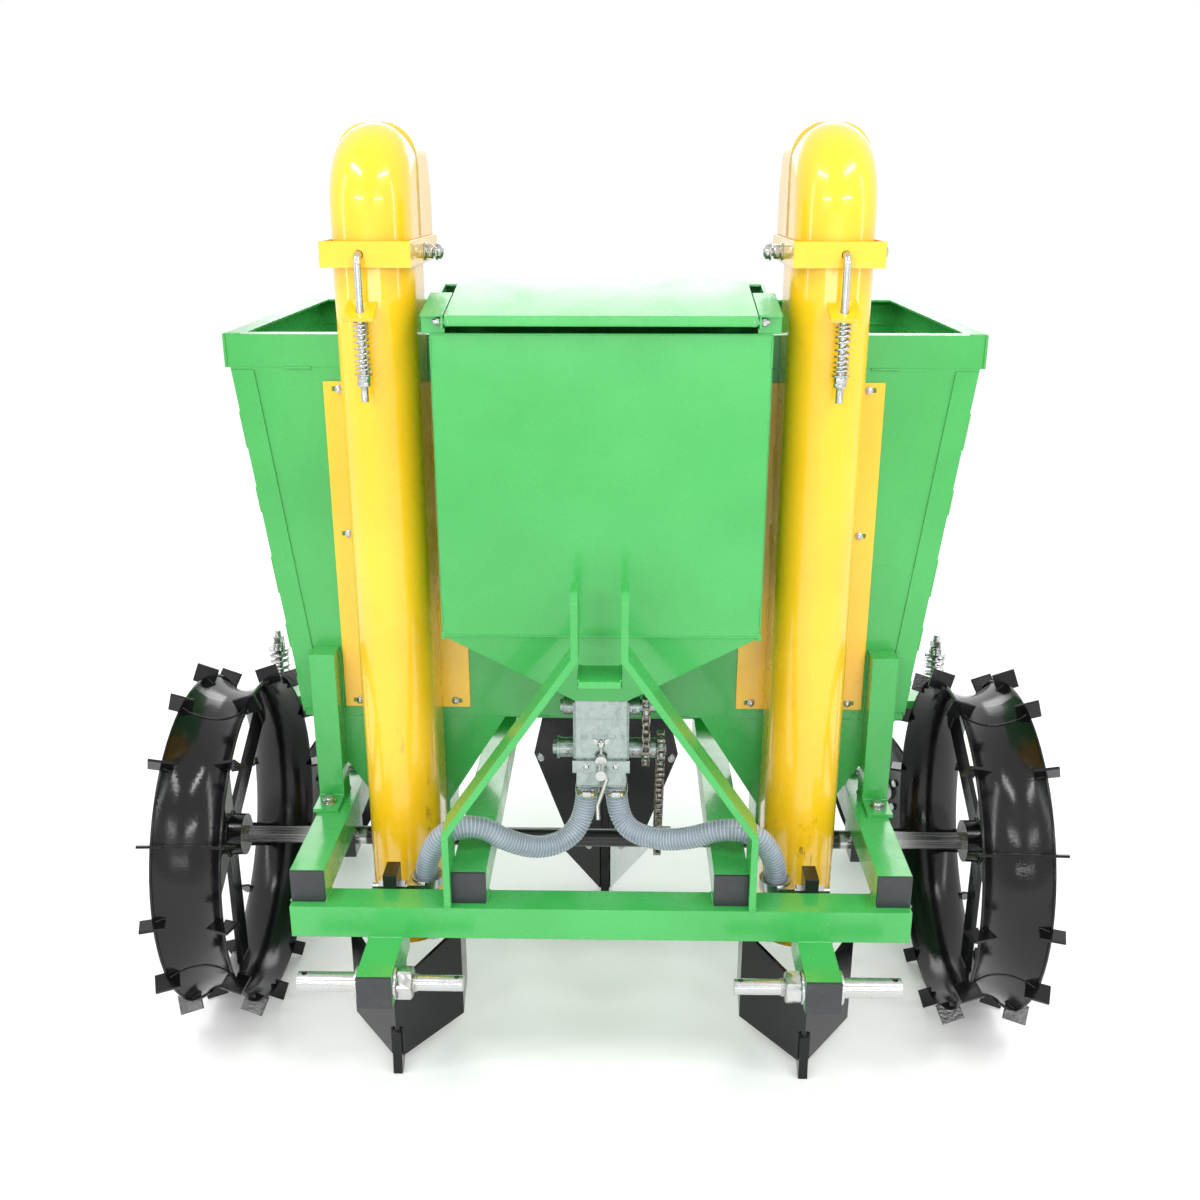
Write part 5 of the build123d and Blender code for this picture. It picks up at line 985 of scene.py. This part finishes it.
def make_cap_seams():
    """The bead of sealant over each duct cap, up one side, round the top and down the other."""
    shape = Shape()
    for side in SIDES:
        seam = []
        for step in range(-14, 15):
            edge = 1 if step > 0 else -1
            rise = 14 - abs(step)
            turn = math.radians(max(rise - 7, 0) * 90 / 7)
            x = edge * CAP_HALF * math.cos(turn)
            z = CAP_LOW + CAP_UPRIGHT * min(rise, 7) / 7 + CAP_HALF * math.sin(turn)
            seam.append((side * ROW_X + x, -0.6 + 0.7 * math.sin(2.1 * step), z - 0.6))
        shape.tube(seam, [1.5 + 0.5 * (step % 2) for step in range(len(seam))], 8)
    shape.finish("cap_seams", "yellow_paint", "frame", material=SEAM, smooth=80)


def make_duct_welds():
    """Short beads between the seed ducts and their side flanges."""
    shape = Shape()
    for side in SIDES:
        for edge in SIDES:
            x = side * ROW_X + edge * 56.5
            for low in range(530, 1010, 120):
                shape.weld((x, 8.4, low), (x, 8.4, low + 46.0), 1.9)
    shape.finish("duct_welds", "yellow_paint", "frame", smooth=80)


# --- Wheels -------------------------------------------------------------------------------

def spun(point, angle):
    """A point turned about the axle line."""
    centre = Vector((0, 0, AXLE_Z))
    return Matrix.Rotation(math.radians(angle), 3, "X") @ (Vector(point) - centre) + centre


def tread_radius(offset):
    """The tread's outer radius at a distance from its middle."""
    half, sag, edge = 51.5, 25.0, 264.0
    bend = (half ** 2 + sag ** 2) / (2 * sag)
    return edge - sag + bend - math.sqrt(bend ** 2 - offset ** 2)


def make_wheel_details():
    """Lug welds, butt seams across the tread, rim wires, spoke feet and hub screws."""
    shape, bolts = Shape(), Shape()
    for side in SIDES:
        middle = side * WHEEL_X
        hub = side * HUB_X
        for edge in SIDES:
            rim = [spun((middle + edge * 50.6, 0, AXLE_Z + 263.6), 5.0 * step) for step in range(72)]
            shape.tube(rim, 2.3, 8, closed=True)
            for index in range(LUG_COUNT):
                angle = 90 + 360 / LUG_COUNT * index
                inner, outer = edge * 37.0, edge * 50.0
                for face in SIDES:
                    start = spun((middle + inner, face * 2.6, AXLE_Z + tread_radius(inner) + 0.6), angle)
                    end = spun((middle + outer, face * 2.6, AXLE_Z + tread_radius(outer) + 0.6), angle)
                    shape.weld(start, end, 2.0, 3.4)
        for index in range(7):
            angle = 360 / 7 * index + 13
            seam = [spun((middle + offset, 0, AXLE_Z + tread_radius(offset) + 0.2), angle)
                    for offset in range(-48, 49, 6)]
            shape.tube(seam, [1.4 + 0.35 * (step % 2) for step in range(len(seam))], 8)
        for index in range(6):
            angle = 60 * index
            for face in SIDES:
                x = hub + face * 4.2
                for half, radius, bead in ((19.0, 237.0, 2.4), (17.0, 33.5, 2.2)):
                    start = spun((x, -half, AXLE_Z + radius), angle)
                    end = spun((x, half, AXLE_Z + radius), angle)
                    shape.weld(start, end, bead, 3.4)
        out = spun((hub + side * 18.0, 0, AXLE_Z + 33.5), 30)
        axis = (out - Vector((out.x, 0, AXLE_Z))).normalized()
        bolts.hexagon(out, axis, 13.0, 6.0, turn=0.2)
        bolts.thread(out + axis * 6.0, axis, 4.0, 5.0, 1.4, 14)
    shape.finish("wheel_welds", "black_paint", "running_gear", smooth=80)
    bolts.finish("hub_screws", "zinc_plate", "running_gear")


# --- Soil tools ---------------------------------------------------------------------------

def plough_bolt(shape, place, axis):
    """A flush bolt head with a shallow round recess."""
    shape.lathe(place, axis, [(0, 8.6), (0.8, 8.6), (1.5, 7.6), (1.5, 4.6), (0.9, 4.0)], 28)


def ridger_face(x, height):
    """The depth of the centre ridger's wing face."""
    rake = 15 / 305
    splay = (111 - rake * 200) / 142.0
    return 285.0 + splay * abs(x) + rake * (height - 40)


def make_ridger_bolts():
    """Bright plough bolts on the ridger's wings and shares."""
    shape, welds = Shape(), Shape()
    for side in SIDES:
        out = Vector((side * 0.55, -0.83, 0.04)).normalized()
        for x, height, lift in ((128.0, 236.0, 0.4), (30.0, 88.0, 4.4)):
            plough_bolt(shape, Vector((side * x, ridger_face(x, height), height)) + out * lift, out)
        welds.weld((side * 8.5, 283.0, 118.0), (side * 8.5, 290.0, 250.0), 2.6)
        welds.weld((side * 10.5, 343.0, 366.0), (side * 10.5, 343.0, 400.0), 2.4)
    shape.finish("ridger_bolts", "zinc_plate", "frame")
    welds.finish("ridger_welds", "black_paint", "frame", smooth=80)


def make_opener_welds():
    """Beads down the openers' noses and along their shanks."""
    shape = Shape()
    for side in SIDES:
        centre = side * ROW_X
        for edge in SIDES:
            x = centre + edge * 8.0
            shape.weld((x, -229.0, 30.0), (x, -227.0, 76.0), 2.6)
            shape.weld((centre + edge * 10.5, -213.0, 86.0), (centre + edge * 10.5, -213.0, 160.0), 2.4)
    shape.finish("opener_welds", "black_paint", "frame", smooth=80)


def make_disc_details():
    """Hub caps and rings of bolts on the covering discs."""
    for word, side in NAMED_SIDES:
        shape = Shape()
        centre = Vector((side * 570.0, 430.0, 150.0))
        toe = math.radians(25)
        axis = Vector((side * math.cos(toe), math.sin(toe), 0))
        u, v = across(axis)
        shape.lathe(centre - axis * 2.0, -axis, [(0, 22.0), (8.0, 21.0), (11.0, 17.0), (12.0, 10.0)], 32)
        for step in range(4):
            angle = math.radians(45 + 90 * step)
            out = u * math.cos(angle) + v * math.sin(angle)
            shape.hexagon(centre + out * 36.0 - axis * 4.6, -axis, 13.0, 6.0, turn=angle)
            shape.hexagon(centre + out * 36.0, axis, 13.0, 7.0, turn=angle)
        shape.finish(word + "_disc_hub_bolts", "zinc_plate", word + "_disc")


def make_pull_rod_threads():
    """The pull rods' upper nuts and the thread above them."""
    for word, side in NAMED_SIDES:
        shape = Shape()
        shape.thread((side * DISC_SPRING_X, DISC_SPRING_Y, 513.0), Z, 6.0, 10.8, 1.75)
        shape.hexagon((side * DISC_SPRING_X, DISC_SPRING_Y, 490.6), Z, 19.6, 10.6, turn=0.5)
        shape.finish(word + "_rod_thread", "zinc_plate", word + "_rod")


# --- Assembly -----------------------------------------------------------------------------

def make_floor():
    """A wide pale floor."""
    shape = bmesh.new()
    bmesh.ops.create_circle(shape, cap_ends=True, segments=96, radius=14.0)
    data = bpy.data.meshes.new("floor")
    shape.to_mesh(data)
    shape.free()
    paint = Paint("studio_floor")
    tone = paint.span(paint.noise(2.0, 3.0), 0.3, 0.7)
    paint.put(Base_Color=paint.blend(tone, colour(0.90, 0.90, 0.90), colour(0.93, 0.93, 0.93)), Roughness=0.7,
              Emission_Color=colour(1.0, 1.0, 1.0), Emission_Strength=0.12)
    data.materials.append(paint.material)
    floor = bpy.data.objects.new("floor", data)
    floor.location.z = -0.0005
    bpy.context.scene.collection.objects.link(floor)


make_camera()
make_hose("left_hose", LEFT_HOSE_ROUTE, 5)
make_hose("right_hose", RIGHT_HOSE_ROUTE, 9)
make_lights()
make_floor()
finish_cad_nodes()
make_hook_springs()
make_disc_springs()
make_chains()
make_duct_bolts()
make_hex_nuts()
make_roller_bolts()
make_frame_bolts()
make_end_caps()
make_hose_clamps()
make_gate_screw()
make_meter_details()
make_set_screws()
make_green_welds()
make_hopper_seams()
make_fertiliser_details()
make_lid_details()
make_cap_seams()
make_duct_welds()
make_wheel_details()
make_ridger_bolts()
make_opener_welds()
make_disc_details()
make_pull_rod_threads()
